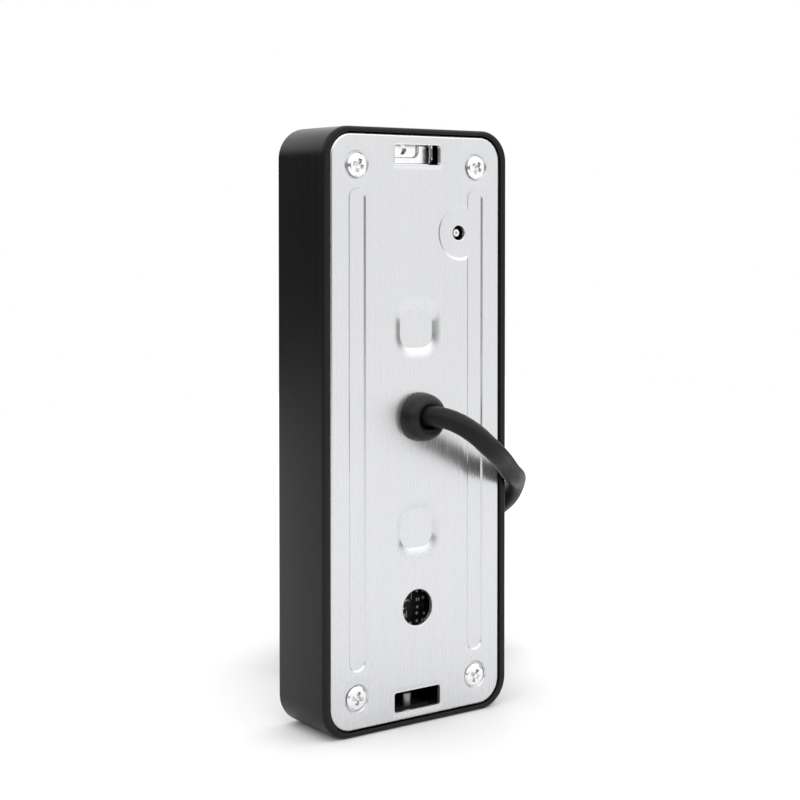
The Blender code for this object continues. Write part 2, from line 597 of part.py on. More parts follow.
def make_cable():
    """The cable: a lead down to the floor, a coil, and a tail to the connector on top of it."""
    lead = smooth_route(LEAD, 4.4)
    lead, lead_end = split(lead, length_of(lead) - 19.0)
    tube("cord_lead", "cable_jacket", lead, CORD_R, 3)
    on_coil = COIL_R * (CLIMB + 2 * pi - CLIMB_END + TAIL_SWEEP)
    tail_start, tail = split(tail_route(), on_coil)
    tube("cord_tail", "cable_jacket", tail, CORD_R, 3)

    height = 2 * CORD_R * COIL_TURNS
    inner, outer, edge = COIL_R - CORD_R, COIL_R + CORD_R, 1.2
    coil = turned("cord_coil", "cable_jacket",
                  [(inner, height - edge), (inner + edge, height), (outer - edge, height),
                   (outer, height - edge), (outer, edge), (outer - edge, 0), (inner + edge, 0),
                   (inner, edge)], True, (*COIL_XY, 0), (0, 0, 0), 36)
    for i, stub in enumerate((lead_end, tail_start)):
        join(coil, as_mesh(tube(f"coil_stub_{i}", "foam", stub, CORD_R - 0.1, 2)))

    bundle = height + 2 * CORD_R
    side = coil_point(TIE_TURN, COIL_R, bundle / 2 + 0.45)
    turn = (0, 0, COIL_START + TIE_TURN)
    cut(coil, box("tie_notch", "foam", (9, 3.8, 1.6), (side[0], side[1], 0), turn=turn))
    tie = box("cord_tie", "black_plastic", (6.9, 3.2, bundle + 0.9), side, turn=turn)
    cut(tie, box("tie_window", "foam", (5.8, 9, bundle - 0.1), side, turn=turn))


def make_connector():
    """An inline network socket on the cable's end: tapered boot, shell and contact block."""
    end, heading = tail_route()[-1], PLUG_HEADING
    turn = Matrix.Rotation(heading, 4, "Z")

    def at(along, up=0.0):
        spot = turn @ Vector((along, 0, 0))
        return (end[0] + spot.x, end[1] + spot.y, PLUG_Z + up)

    turned("connector_boot", "black_rubber",
           [(0, 12.0), (5.2, 12.0), (5.2, 9.6), (4.0, 6.0), (3.5, 0.3), (0, 0.3)],
           False, at(0), (0, pi / 2, heading), 24)
    middle = at(12.3 + 12.0)
    shell = box("connector_shell", "black_plastic", (24, 15.6, 13.6), middle, turn=(0, 0, heading))
    soft = shell.modifiers.new("soft_edges", "BEVEL")
    soft.width, soft.segments = 0.8 * MM, 2
    cut(shell,
        box("socket", "foam", (15, 11.8, 6.8), at(PLUG_LONG - 6.5, 0.6), turn=(0, 0, heading)),
        box("latch_slot", "foam", (15, 6.2, 3.0), at(PLUG_LONG - 6.5, -3.2), turn=(0, 0, heading)))
    comb = box("connector_contacts", "brass", (1.2, 8.6, 1.6), at(PLUG_LONG - 13.0, 2.6),
               turn=(0, 0, heading))
    for i in range(8):
        spot = turn @ Vector((PLUG_LONG - 9.8, (i - 3.5) * 1.02, 0))
        join(comb, box(f"contact_{i}", "foam", (6.0, 0.4, 0.5),
                       (end[0] + spot.x, end[1] + spot.y, PLUG_Z + 2.4), turn=(0, 0, heading)))


clear_scene()
parts = new_collection(COLLECTION)
cutters = new_collection("cutters")
materials = make_materials()
make_front_housing()
make_rear_plate()
make_screws()
make_frame_and_seal()
make_hooks()
make_camera()
make_night_light()
make_speaker()
make_microphone()
make_call_button()
make_reset_button()
make_main_board()
make_gland()
make_cable()
make_connector()
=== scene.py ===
"""The looks of the video doorbell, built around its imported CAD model.

Shapes are worked out in millimetres, in the frame of the CAD model: +Z is up, the front faces -Y
and the steel back faces +Y. MM turns them into metres.
"""

from math import acos, cos, pi, radians, sin, tau

import bmesh
import bpy
import numpy as np
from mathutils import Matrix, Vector, geometry


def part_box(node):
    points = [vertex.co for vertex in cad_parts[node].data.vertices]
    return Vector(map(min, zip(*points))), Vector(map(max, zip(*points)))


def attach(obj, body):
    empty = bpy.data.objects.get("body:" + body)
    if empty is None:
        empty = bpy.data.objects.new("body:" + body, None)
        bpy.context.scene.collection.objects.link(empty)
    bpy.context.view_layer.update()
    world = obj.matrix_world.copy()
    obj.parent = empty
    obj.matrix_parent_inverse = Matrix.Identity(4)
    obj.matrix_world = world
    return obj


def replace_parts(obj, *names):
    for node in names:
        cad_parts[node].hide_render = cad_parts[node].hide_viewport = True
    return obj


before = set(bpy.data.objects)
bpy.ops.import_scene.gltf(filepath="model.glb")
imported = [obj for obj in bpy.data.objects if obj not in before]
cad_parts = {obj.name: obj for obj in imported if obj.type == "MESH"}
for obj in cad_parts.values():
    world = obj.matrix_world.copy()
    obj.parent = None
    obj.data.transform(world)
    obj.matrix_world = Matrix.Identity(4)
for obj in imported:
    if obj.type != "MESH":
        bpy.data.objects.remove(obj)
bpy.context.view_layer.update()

MM = 0.001


def span(node):
    """The lowest and highest corner of a CAD node, in millimetres."""
    low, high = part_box(node)
    return np.array(low) / MM, np.array(high) / MM


# The body and its plate, read from the CAD model.
BODY_LOW, BODY_HIGH = span("front_housing")
BODY_W, BODY_H = BODY_HIGH[0] - BODY_LOW[0], BODY_HIGH[2] - BODY_LOW[2]
FRONT, REAR = BODY_LOW[1], BODY_HIGH[1]
MIDDLE_Z = (BODY_LOW[2] + BODY_HIGH[2]) / 2
BODY_R, CAVITY_R = 7.8, 6.5
WALL_SIDES, WALL_ENDS, WALL_FRONT = 2.0, 1.3, 1.8
CAVITY = (BODY_W - 2 * WALL_SIDES, BODY_H - 2 * WALL_ENDS, CAVITY_R)
REAR_ROUND, FRONT_ROUND, RIM_ROUND = 0.8, 1.5, 0.2
PLATE_LOW, PLATE_HIGH = span("rear_plate")
PLATE_W, PLATE_H = PLATE_HIGH[0] - PLATE_LOW[0], PLATE_HIGH[2] - PLATE_LOW[2]
PLATE_OUT = PLATE_HIGH[1]
PLATE_R, PLATE_T = 6.2, 1.0
PLATE_ROUND = 0.7

# What is stamped into the plate and cut through it.
GROOVE_X, GROOVE_W, GROOVE_Z = 18.4, 5.3, (15.8, 135.2)
DIMPLE_Z = (49.5, 99.8)
SLOT_SIZE, SLOT_Z = (14.3, 5.0), (6.3, 143.4)
BOSS_X, BOSS_Z = 18.6, (9.45, 140.6)
GLAND_X, GLAND_Z, GLAND_R = -0.4, 77.6, 5.0
GLAND_SHIFT = 0.3  # the rubber dome stands this far towards -X from its hole
ACCESS_Z, ACCESS_R = 29.5, 4.6
RESET_X, RESET_Z, RESET_R = -13.6, 123.8, 1.9

# The front.
CAMERA_Z, IR_Z, SPEAKER_Z, CALL_Z, MIC_Z = 122.0, 104.0, 79.0, 36.0, 14.5

# The cable, from inside its gland to the coil on the floor, as in the CAD model.
CORD_R = 2.6
LEAD_STEP = 2.0
BOX_GAP = 0.01  # how far inside the back of the CAD cable's box the visual one stays
LEAD = [
    (-0.6, 11.4, 78.1),
    (-0.8, 15.9, 78.3),
    (-2.3, 19.6, 77.8),
    (-4.5, 22.5, 76.4),
    (-7.6, 24.5, 73.9),
    (-12.0, 24.7, 70.3),
    (-18.6, 21.4, 66.2),
    (-24.2, 18.0, 62.4),
    (-33.6, 8.3, 57.7),
    (-35.5, 4.4, 54.4),
    (-37.2, -1.5, 50.7),
    (-37.1, -7.4, 46.2),
    (-35.9, -10.6, 41.1),
    (-32.9, -11.8, 28.1),
    (-33.8, -10.6, 16.5),
    (-37.5, -12.3, 9.4),
    (-42.9, -16.6, 4.6),
    (-48.6, -22.4, 2.8),
    (-54.0, -29.0, 2.6),
    (-59.0, -35.9, 2.6),
]
COIL_XY = (-37.25, -51.85)
COIL_R = 27.0
COIL_START = radians(143.8)
COIL_TURNS = 2
# Where in a turn the cable climbs onto the turn below it.
CLIMB, CLIMB_END = radians(60), radians(330)
TAIL_R = 16.0  # how tightly the tail turns in to lie across the coil
TAIL_RISE = radians(40)  # how much of its last turn the cable takes to leave the coil
PLUG_SIDE = 20.0  # from the coil's middle to the connector's line
PLUG_HEADING = radians(53.8)
PLUG_Z = 17.5
TAIL_BEND = acos((PLUG_SIDE - TAIL_R) / (COIL_R - TAIL_R))
TAIL_SWEEP = (PLUG_HEADING - pi / 2 - TAIL_BEND - COIL_START) % tau
TIE_TURN, TIE_T = radians(58), 0.55  # the tie's place, how far its strap lifts the cable
TIE_SPREAD = radians(16)  # how much of a turn the cable takes to come down beside the tie
TIE_STRAP, TIE_HALF = 0.5, 1.3  # the strap's thickness, half its width

# The camera.
EYE = Vector((0.24807, 0.34121, 0.12627))
AIM = Vector((-0.5909, -0.8063, -0.0262))
LENS, SENSOR, SHIFT_Y = 74.27, 36.0, -0.1669


# Mesh helpers -------------------------------------------------------------------------------


def finish_mesh(name, points, faces, finish, angle=38, body="body"):
    """A piece from points in millimetres: doubles merged, normals outward, shaded smooth."""
    mesh = bpy.data.meshes.new(name)
    mesh.from_pydata([tuple(float(c) * MM for c in p) for p in points], [],
                     [tuple(int(i) for i in f) for f in faces])
    bm = bmesh.new()
    bm.from_mesh(mesh)
    bmesh.ops.remove_doubles(bm, verts=bm.verts, dist=0.000002)
    bmesh.ops.dissolve_degenerate(bm, edges=bm.edges, dist=0.0000005)
    bmesh.ops.recalc_face_normals(bm, faces=bm.faces)
    bm.to_mesh(mesh)
    bm.free()
    mesh.shade_smooth()
    mesh.set_sharp_from_angle(angle=radians(angle))
    return place(bpy.data.objects.new(name, mesh), finish, body)


def place(obj, finish, body="body"):
    """Puts a piece in the scene, with its finish and the body that it rides on."""
    bpy.context.scene.collection.objects.link(obj)
    obj.data.materials.append(finishes[finish])
    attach(obj, body)
    return obj


class Shape:
    """The points and faces of one piece, gathered loop by loop."""

    def __init__(self):
        self.points, self.faces = [], []

    def loop(self, points):
        first = len(self.points)
        self.points += [tuple(p) for p in points]
        return list(range(first, len(self.points)))

    def skin(self, loops, closed=True):
        """Quads between loops that follow each other."""
        rows = [self.loop(points) for points in loops]
        for a, b in zip(rows, rows[1:]):
            for i in range(len(a) if closed else len(a) - 1):
                j = (i + 1) % len(a)
                self.faces.append((a[i], a[j], b[j], b[i]))
        return rows

    def cap(self, row):
        self.faces.append(tuple(row))

    def triangles(self, points, faces):
        first = len(self.points)
        self.points += [tuple(p) for p in points]
        self.faces += [tuple(first + i for i in f) for f in faces]

    def lathe(self, profile, x=0.0, z=0.0, steps=72):
        """Turns a profile of (radius, y) about the line along Y at (x, z)."""
        angles = np.arange(steps) * tau / steps
        rows = []
        for radius, y in profile:
            rows.append([(x + radius * cos(a), y, z + radius * sin(a)) for a in angles])
        self.skin(rows)

    def made(self, name, finish, **how):
        return finish_mesh(name, self.points, self.faces, finish, **how)


def softened(points, radius, steps=4, closed=False):
    """The outline with its corners rounded; a third value on a point is its own radius."""
    count, out = len(points), []
    for i, point in enumerate(points):
        here = np.array(point[:2], float)
        size = point[2] if len(point) > 2 else radius
        if size <= 0 or (not closed and i in (0, count - 1)):
            out.append(here)
            continue
        before = np.array(points[i - 1][:2], float) - here
        after = np.array(points[(i + 1) % count][:2], float) - here
        reach = min(size, np.linalg.norm(before) / 2.01, np.linalg.norm(after) / 2.01)
        a = here + before / np.linalg.norm(before) * reach
        b = here + after / np.linalg.norm(after) * reach
        for t in np.linspace(0, 1, steps + 1):
            out.append((1 - t) ** 2 * a + 2 * t * (1 - t) * here + t**2 * b)
    return out


def rounded(width, height, radius, x=0.0, z=0.0, steps=10, run=1000.0):
    """A rounded rectangle of (x, z) points, counterclockwise; run is the longest straight step."""
    least, gap = 0.02, 0.001
    radius = min(max(radius, least), width / 2 - gap, height / 2 - gap)
    out = []
    for k, (sx, sz) in enumerate(((1, 1), (-1, 1), (-1, -1), (1, -1))):
        cx, cz = x + sx * (width / 2 - radius), z + sz * (height / 2 - radius)
        arc = [(cx + radius * cos(a), cz + radius * sin(a))
               for a in np.linspace(k * pi / 2, (k + 1) * pi / 2, steps + 1)]
        out += arc
        side = height - 2 * radius if k % 2 else width - 2 * radius
        extra = int(side // run)
        step = (0, -1) if k == 1 else (0, 1) if k == 3 else (-1, 0) if k == 0 else (1, 0)
        for i in range(extra):
            d = side * (i + 1) / (extra + 1)
            out.append((arc[-1][0] + step[0] * d, arc[-1][1] + step[1] * d))
    return out


def circle(x, z, radius, steps):
    angles = np.arange(steps) * tau / steps
    return [(x + radius * cos(a), z + radius * sin(a)) for a in angles]


def at_y(loop, y):
    """A loop of (x, z) points put at one y."""
    return [(x, y, z) for x, z in loop]


def triangulate(loops, keep):
    """A triangle mesh whose edges follow every loop of (x, z); keep says which centres stay."""
    points, edges = [], []
    for loop in loops:
        first = len(points)
        points += [Vector((float(x), float(z))) for x, z in loop]
        edges += [(first + i, first + (i + 1) % len(loop)) for i in range(len(loop))]
    found = geometry.delaunay_2d_cdt(points, edges, [], 0, 0.00001)
    flat = np.array([tuple(v) for v in found[0]])
    faces = np.array(found[2])
    return flat, faces[keep(flat[faces].mean(1))]


def border(faces):
    """The directed edges that only one triangle has."""
    edges = {(int(a), int(b)) for f in faces for a, b in zip(f, np.roll(f, -1))}
    return [e for e in edges if e[::-1] not in edges]


def past_edge(points, width, height, radius, x=0.0, z=0.0):
    """How far past a rounded rectangle's edge each (x, z) point lies; negative inside it."""
    q = np.abs(np.asarray(points) - (x, z)) - (width / 2 - radius, height / 2 - radius)
    return np.linalg.norm(np.maximum(q, 0), axis=1) + np.minimum(q.max(1), 0) - radius


def within(points, loop):
    """Which (x, z) points lie inside a polygon."""
    corners = np.asarray(loop, float)
    result = np.zeros(len(points), bool)
    for a, b in zip(corners, np.roll(corners, -1, 0)):
        crosses = (a[1] > points[:, 1]) != (b[1] > points[:, 1])
        with np.errstate(divide="ignore", invalid="ignore"):
            x = a[0] + (points[:, 1] - a[1]) * (b[0] - a[0]) / (b[1] - a[1])
        result ^= crosses & (points[:, 0] < x)
    return result


def ease(part):
    """A smooth step from 0 to 1."""
    part = np.clip(part, 0, 1)
    return part**2 * (3 - 2 * part)


# Materials ------------------------------------------------------------------------------------


class Finish:
    """A Principled material with noise, in the frame's own coordinates, driving its surface."""

    def __init__(self, name, color, roughness, metallic=0.0, **sockets):
        self.material = bpy.data.materials.new(name)
        self.material.use_nodes = True
        self.nodes = self.material.node_tree.nodes
        self.links = self.material.node_tree.links
        self.shader = self.nodes["Principled BSDF"]
        self.color, self.roughness = color, roughness
        self.shader.inputs["Base Color"].default_value = (*color, 1.0)
        self.shader.inputs["Roughness"].default_value = roughness
        self.shader.inputs["Metallic"].default_value = metallic
        for socket, value in sockets.items():
            self.shader.inputs[socket.replace("_", " ")].default_value = value
        self.where = self.nodes.new("ShaderNodeTexCoord").outputs["Object"]
        self.height = None

    def noise(self, scale, stretch=(1, 1, 1), detail=3.0, rough=0.5):
        move = self.nodes.new("ShaderNodeMapping")
        move.inputs["Scale"].default_value = stretch
        self.links.new(self.where, move.inputs["Vector"])
        grain = self.nodes.new("ShaderNodeTexNoise")
        grain.inputs["Scale"].default_value = scale
        grain.inputs["Detail"].default_value = detail
        grain.inputs["Roughness"].default_value = rough
        self.links.new(move.outputs["Vector"], grain.inputs["Vector"])
        return grain.outputs["Fac"]

    def remap(self, value, low, high, start=0.3, end=0.7):
        step = self.nodes.new("ShaderNodeMapRange")
        ends = {"From Min": start, "From Max": end, "To Min": low, "To Max": high}
        for socket, number in ends.items():
            step.inputs[socket].default_value = number
        self.links.new(value, step.inputs["Value"])
        return step.outputs["Result"]

    def mix(self, a, b, share=0.5):
        blend = self.nodes.new("ShaderNodeMix")
        blend.inputs["Factor"].default_value = share
        self.links.new(a, blend.inputs["A"])
        self.links.new(b, blend.inputs["B"])
        return blend.outputs["Result"]

    def tint(self, value, low, high):
        """Colour between low and high times the base colour."""
        ramp = self.nodes.new("ShaderNodeValToRGB")
        ramp.color_ramp.elements[0].position, ramp.color_ramp.elements[1].position = 0.3, 0.7
        ramp.color_ramp.elements[0].color = (*(min(c * low, 1) for c in self.color), 1)
        ramp.color_ramp.elements[1].color = (*(min(c * high, 1) for c in self.color), 1)
        self.links.new(value, ramp.inputs["Fac"])
        self.links.new(ramp.outputs["Color"], self.shader.inputs["Base Color"])

    def rough(self, value, low, high):
        self.links.new(self.remap(value, low, high), self.shader.inputs["Roughness"])

    def bump(self, value, strength, depth):
        """depth is the relief in millimetres."""
        step = self.nodes.new("ShaderNodeBump")
        step.inputs["Strength"].default_value = strength
        step.inputs["Distance"].default_value = depth * MM
        self.links.new(value, step.inputs["Height"])
        self.links.new(step.outputs["Normal"], self.shader.inputs["Normal"])

    def brushed_along(self, axis):
        """Stretches the highlights across the grain that runs along `axis`."""
        tangent = self.nodes.new("ShaderNodeTangent")
        tangent.direction_type, tangent.axis = "RADIAL", axis
        self.links.new(tangent.outputs["Tangent"], self.shader.inputs["Tangent"])


def brushed(name, color, roughness, metallic, streak, **sockets):
    """Metal brushed along Z: fine streaks in colour, roughness and relief."""
    made = Finish(name, color, roughness, metallic, **sockets)
    fine = made.noise(1.0, (5200, 5200, 38), 2.0, 0.6)
    wide = made.noise(1.0, (900, 900, 9), 3.0, 0.6)
    both = made.mix(fine, wide, 0.45)
    made.tint(both, 1 - streak, 1 + streak)
    made.rough(both, roughness * 0.86, roughness * 1.16)
    made.bump(fine, 0.05, 0.004)
    made.brushed_along("Z")
    return made.material


def plated(name, color, roughness):
    made = Finish(name, color, roughness, 1.0)
    cloud = made.noise(700, detail=4.0)
    made.tint(cloud, 0.94, 1.04)
    made.rough(cloud, roughness * 0.75, roughness * 1.35)
    made.bump(made.noise(2600), 0.08, 0.006)
    return made.material


def moulded(name, color, roughness, grain, relief, **sockets):
    """Moulded plastic or rubber with a fine spark-eroded texture."""
    made = Finish(name, color, roughness, **sockets)
    fine, cloud = made.noise(grain, detail=4.0), made.noise(90, detail=2.0)
    made.tint(cloud, 0.86, 1.12)
    made.rough(fine, roughness * 0.88, min(roughness * 1.12, 1.0))
    made.bump(fine, 0.35, relief)
    return made.material


def make_finishes():
    board = Finish("board", (0.008, 0.010, 0.009), 0.34, Specular_IOR_Level=0.6)
    tracks = board.noise(900, (1, 1, 1), 1.0)
    board.tint(tracks, 0.6, 1.9)
    board.bump(tracks, 0.4, 0.02)
    glass = Finish("lens_glass", (0.012, 0.014, 0.02), 0.04,
                   Coat_Weight=0.6, Coat_Roughness=0.02)
    glass.rough(glass.noise(300), 0.02, 0.06)
    clear = Finish("window_glass", (0.32, 0.34, 0.38), 0.02, Transmission_Weight=1.0, IOR=1.46)
    clear.rough(clear.noise(200), 0.0, 0.02)
    guide = Finish("light_guide", (0.78, 0.86, 0.92), 0.22, Transmission_Weight=0.25,
                   Subsurface_Weight=0.4, Subsurface_Scale=0.002)
    guide.rough(guide.noise(400), 0.16, 0.3)
    led = Finish("led", (0.75, 0.74, 0.62), 0.12, Coat_Weight=0.5)
    led.tint(led.noise(500), 0.7, 1.15)
    cable = Finish("cable_jacket", (0.0055, 0.0055, 0.0062), 0.4, Specular_IOR_Level=0.2)
    skin, scuff = cable.noise(1500, detail=3.0), cable.noise(160, (1, 1, 1), 3.0)
    cable.tint(scuff, 0.75, 1.3)
    cable.rough(skin, 0.36, 0.52)
    cable.bump(skin, 0.25, 0.012)
    return {
        "black_aluminium": brushed("black_aluminium", (0.006, 0.006, 0.007), 0.34, 0.0, 0.5,
                                   Anisotropic=0.5, Specular_IOR_Level=0.2),
        "brushed_steel": brushed("brushed_steel", (0.65, 0.655, 0.665), 0.27, 0.92, 0.035,
                                 Anisotropic=0.4),
        "bright_steel": plated("bright_steel", (0.86, 0.86, 0.87), 0.16),
        # Steel darkened as painted shade, standing in for the shade inside the bottom slot where
        # the lock screw sits.
        "bright_steel:painted_shade": plated("steel_painted_shade", (0.30, 0.30, 0.31), 0.3),
        "black_rubber": moulded("black_rubber", (0.0055, 0.0055, 0.006), 0.4, 1900, 0.012,
                                Specular_IOR_Level=0.28),
        "cable_jacket": cable.material,
        "black_plastic": moulded("black_plastic", (0.014, 0.014, 0.016), 0.4, 2600, 0.02),
        "black_plastic:gloss": moulded("gloss_black_plastic", (0.010, 0.010, 0.012), 0.12, 400,
                                       0.002, Coat_Weight=0.3, Coat_Roughness=0.03),
        "white_plastic": moulded("white_plastic", (0.8, 0.8, 0.78), 0.38, 2000, 0.01),
        "light_guide": guide.material,
        "board": board.material,
        "chip": moulded("chip", (0.022, 0.022, 0.024), 0.5, 3200, 0.02),
        "lens_glass": glass.material,
        "lens_glass:clear": clear.material,
        "foam": moulded("foam", (0.032, 0.032, 0.034), 0.85, 2400, 0.12),
        "brass": plated("brass", (0.83, 0.62, 0.28), 0.24),
        "led": led.material,
    }


# Camera, light and floor ---------------------------------------------------------------------


def make_camera():
    camera = bpy.data.objects.new("camera", bpy.data.cameras.new("camera"))
    bpy.context.scene.collection.objects.link(camera)
    camera.location = EYE
    camera.rotation_euler = AIM.to_track_quat("-Z", "Y").to_euler()
    camera.data.lens, camera.data.sensor_width, camera.data.shift_y = LENS, SENSOR, SHIFT_Y
    camera.data.clip_start, camera.data.clip_end = 0.01, 50
    bpy.context.scene.camera = camera


def area_light(name, place_at, aim, size, power):
    light = bpy.data.lights.new(name, "AREA")
    light.energy, light.shape = power, "RECTANGLE"
    light.size = light.size_y = size
    obj = bpy.data.objects.new(name, light)
    bpy.context.scene.collection.objects.link(obj)
    obj.location = place_at
    obj.rotation_euler = (Vector(aim) - Vector(place_at)).to_track_quat("-Z", "Y").to_euler()


# The room that the metal mirrors: headings in degrees from +X, each with its wall's brightness.
WALLS = ((-180, 0.10), (-158, 0.14), (-146, 1.0), (-118, 1.0), (-96, 0.05), (-14, 0.05),
         (12, 0.16), (92, 0.22), (107, 1.15), (147, 1.15), (160, 0.16), (180, 0.10))
CEILING = 1.8
CEILING_FROM, CEILING_FULL = 0.1, 0.45  # the upward slopes between which the wall turns into it
FLOOR_HALF, FLOOR_GREY = 0.7, 0.69  # metres, brightness
LAMP_AT, LAMP_AIM, LAMP_SIZE, LAMP_POWER = (0.1, 0.35, 1.3), (0, 0, 0.08), 1.2, 1.5


def make_world():
    """A white room for the camera, with brighter and darker walls for the metal to mirror."""
    world = bpy.data.worlds.new("studio")
    bpy.context.scene.world = world
    world.use_nodes = True
    nodes, links = world.node_tree.nodes, world.node_tree.links
    background = nodes["Background"]
    background.inputs["Color"].default_value = (1, 1, 1, 1)

    def calc(operation, *inputs):
        step = nodes.new("ShaderNodeMath")
        step.operation = operation
        for socket, value in zip(step.inputs, inputs):
            if isinstance(value, float):
                socket.default_value = value
            else:
                links.new(value, socket)
        return step.outputs["Value"]

    split = nodes.new("ShaderNodeSeparateXYZ")
    links.new(nodes.new("ShaderNodeTexCoord").outputs["Generated"], split.inputs["Vector"])
    heading = calc("ARCTAN2", split.outputs["Y"], split.outputs["X"])
    turn = calc("ADD", calc("DIVIDE", heading, tau), 0.5)
    walls = nodes.new("ShaderNodeValToRGB")
    stops = walls.color_ramp.elements
    while len(stops) < len(WALLS):
        stops.new(0.5)
    for stop, (degrees, bright) in zip(stops, WALLS):
        stop.position, stop.color = degrees / 360 + 0.5, (bright, bright, bright, 1)
    links.new(turn, walls.inputs["Fac"])
    up = nodes.new("ShaderNodeMapRange")
    up.interpolation_type = "SMOOTHSTEP"
    up.inputs["From Min"].default_value = CEILING_FROM
    up.inputs["From Max"].default_value = CEILING_FULL
    links.new(split.outputs["Z"], up.inputs["Value"])
    level = calc("SUBTRACT", 1.0, up.outputs["Result"])
    room = calc("ADD", calc("MULTIPLY", walls.outputs["Color"], level),
                calc("MULTIPLY", up.outputs["Result"], CEILING))
    seen = nodes.new("ShaderNodeLightPath").outputs["Is Camera Ray"]
    links.new(calc("MAXIMUM", room, seen), background.inputs["Strength"])


def make_studio():
    """The room, a pale floor and a soft light overhead."""
    make_world()
    side = FLOOR_HALF
    floor = bpy.data.meshes.new("floor")
    floor.from_pydata([(-side, -side, 0), (side, -side, 0), (side, side, 0), (-side, side, 0)], [],
                      [(0, 1, 2, 3)])
    obj = bpy.data.objects.new("floor", floor)
    bpy.context.scene.collection.objects.link(obj)
    pale = Finish("floor", (FLOOR_GREY,) * 3, 0.6, Specular_IOR_Level=0.1)
    pale.tint(pale.noise(3.0), 0.995, 1.005)
    floor.materials.append(pale.material)
    area_light("overhead", LAMP_AT, LAMP_AIM, LAMP_SIZE, LAMP_POWER)
    bpy.context.scene.view_settings.view_transform = "Standard"


# The cable ------------------------------------------------------------------------------------


def smooth_route(points, spacing):
    """Points about `spacing` apart on a natural cubic spline through the given ones."""
    knots = np.array(points, float)
    along = np.concatenate([[0], np.cumsum(np.linalg.norm(np.diff(knots, axis=0), axis=1))])
    gaps = np.diff(along)
    rows = np.eye(len(knots))
    slopes = np.zeros_like(knots)
    for i in range(1, len(knots) - 1):
        rows[i, i - 1:i + 2] = gaps[i - 1], 2 * (gaps[i - 1] + gaps[i]), gaps[i]
        rise = np.diff(knots[i - 1:i + 2], axis=0) / gaps[i - 1:i + 1, None]
        slopes[i] = 6 * (rise[1] - rise[0])
    bends = np.linalg.solve(rows, slopes)
    where = np.linspace(0, along[-1], round(along[-1] / spacing) + 1)
    i = np.clip(np.searchsorted(along, where, side="right") - 1, 0, len(gaps) - 1)
    h, a, b = gaps[i, None], (along[i + 1] - where)[:, None], (where - along[i])[:, None]
    return (
        (bends[i] * a**3 + bends[i + 1] * b**3) / (6 * h)
        + (knots[i] / h - bends[i] * h / 6) * a
        + (knots[i + 1] / h - bends[i + 1] * h / 6) * b
    )


def coil_point(turn, radius, height):
    angle = COIL_START + turn
    return (COIL_XY[0] + radius * cos(angle), COIL_XY[1] + radius * sin(angle), height)


def over_tie(turn):
    """How far the tie's strap, which lies under the coil, lifts the cable."""
    return TIE_T * np.exp(-(((turn % tau - TIE_TURN) / TIE_SPREAD) ** 2))


def coil_height(turn):
    """The cable's middle over the floor: one diameter higher each turn, and up over the tie."""
    climbed = sum(ease((turn - CLIMB_END - k * tau) / CLIMB + 1) for k in range(COIL_TURNS))
    return CORD_R * (1 + 2 * climbed) + over_tie(turn)


def cable_route():
    """The lead, the coil's turns, and the tail that rises from them and turns in to the plug."""
    top = CORD_R * (2 * COIL_TURNS + 1)
    last = COIL_TURNS * tau + TAIL_SWEEP - TAIL_RISE
    coil = [coil_point(t, COIL_R, coil_height(t)) for t in np.linspace(0, last, 160)[1:]]
    lift = [top + (PLUG_Z - top) * ease(s) for s in np.linspace(0, 1, 21)]
    rise = [coil_point(TAIL_SWEEP + t, COIL_R, z + over_tie(TAIL_SWEEP + t))
            for t, z in zip(np.linspace(-TAIL_RISE, 0, 11)[1:], lift[1:11])]
    middle = coil_point(TAIL_SWEEP, COIL_R - TAIL_R, 0)
    turns = COIL_START + TAIL_SWEEP + np.linspace(0, TAIL_BEND, 11)[1:]
    bend = [(middle[0] + TAIL_R * cos(a), middle[1] + TAIL_R * sin(a), z)
            for a, z in zip(turns, lift[11:])]
    return np.vstack([smooth_route(LEAD, LEAD_STEP), coil, rise, bend])


def plug_frame():
    """The connector's start, its direction and the direction to its side."""
    ahead = np.array((cos(PLUG_HEADING), sin(PLUG_HEADING), 0.0))
    return cable_route()[-1] + ahead, ahead, np.array((-ahead[1], ahead[0], 0.0))


def make_cable():
    route = cable_route()
    end, ahead, _ = plug_frame()
    route = np.vstack([route, end + ahead * 1.5, end + ahead * 3.0])
    furthest_back = span("cord_lead")[1][1] - CORD_R - BOX_GAP
    route[:, 1] = np.minimum(route[:, 1], furthest_back)
    curve = bpy.data.curves.new("cable", "CURVE")
    curve.dimensions = "3D"
    curve.bevel_depth, curve.bevel_resolution, curve.use_fill_caps = CORD_R * MM, 8, True
    spline = curve.splines.new("POLY")
    spline.points.add(len(route) - 1)
    for knot, point in zip(spline.points, route):
        knot.co = (*(Vector(point) * MM), 1.0)
    spline.use_smooth = True
    cable = place(bpy.data.objects.new("cable", curve), "cable_jacket")
    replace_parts(cable, "cord_lead", "cord_coil", "cord_tail")
    return cable


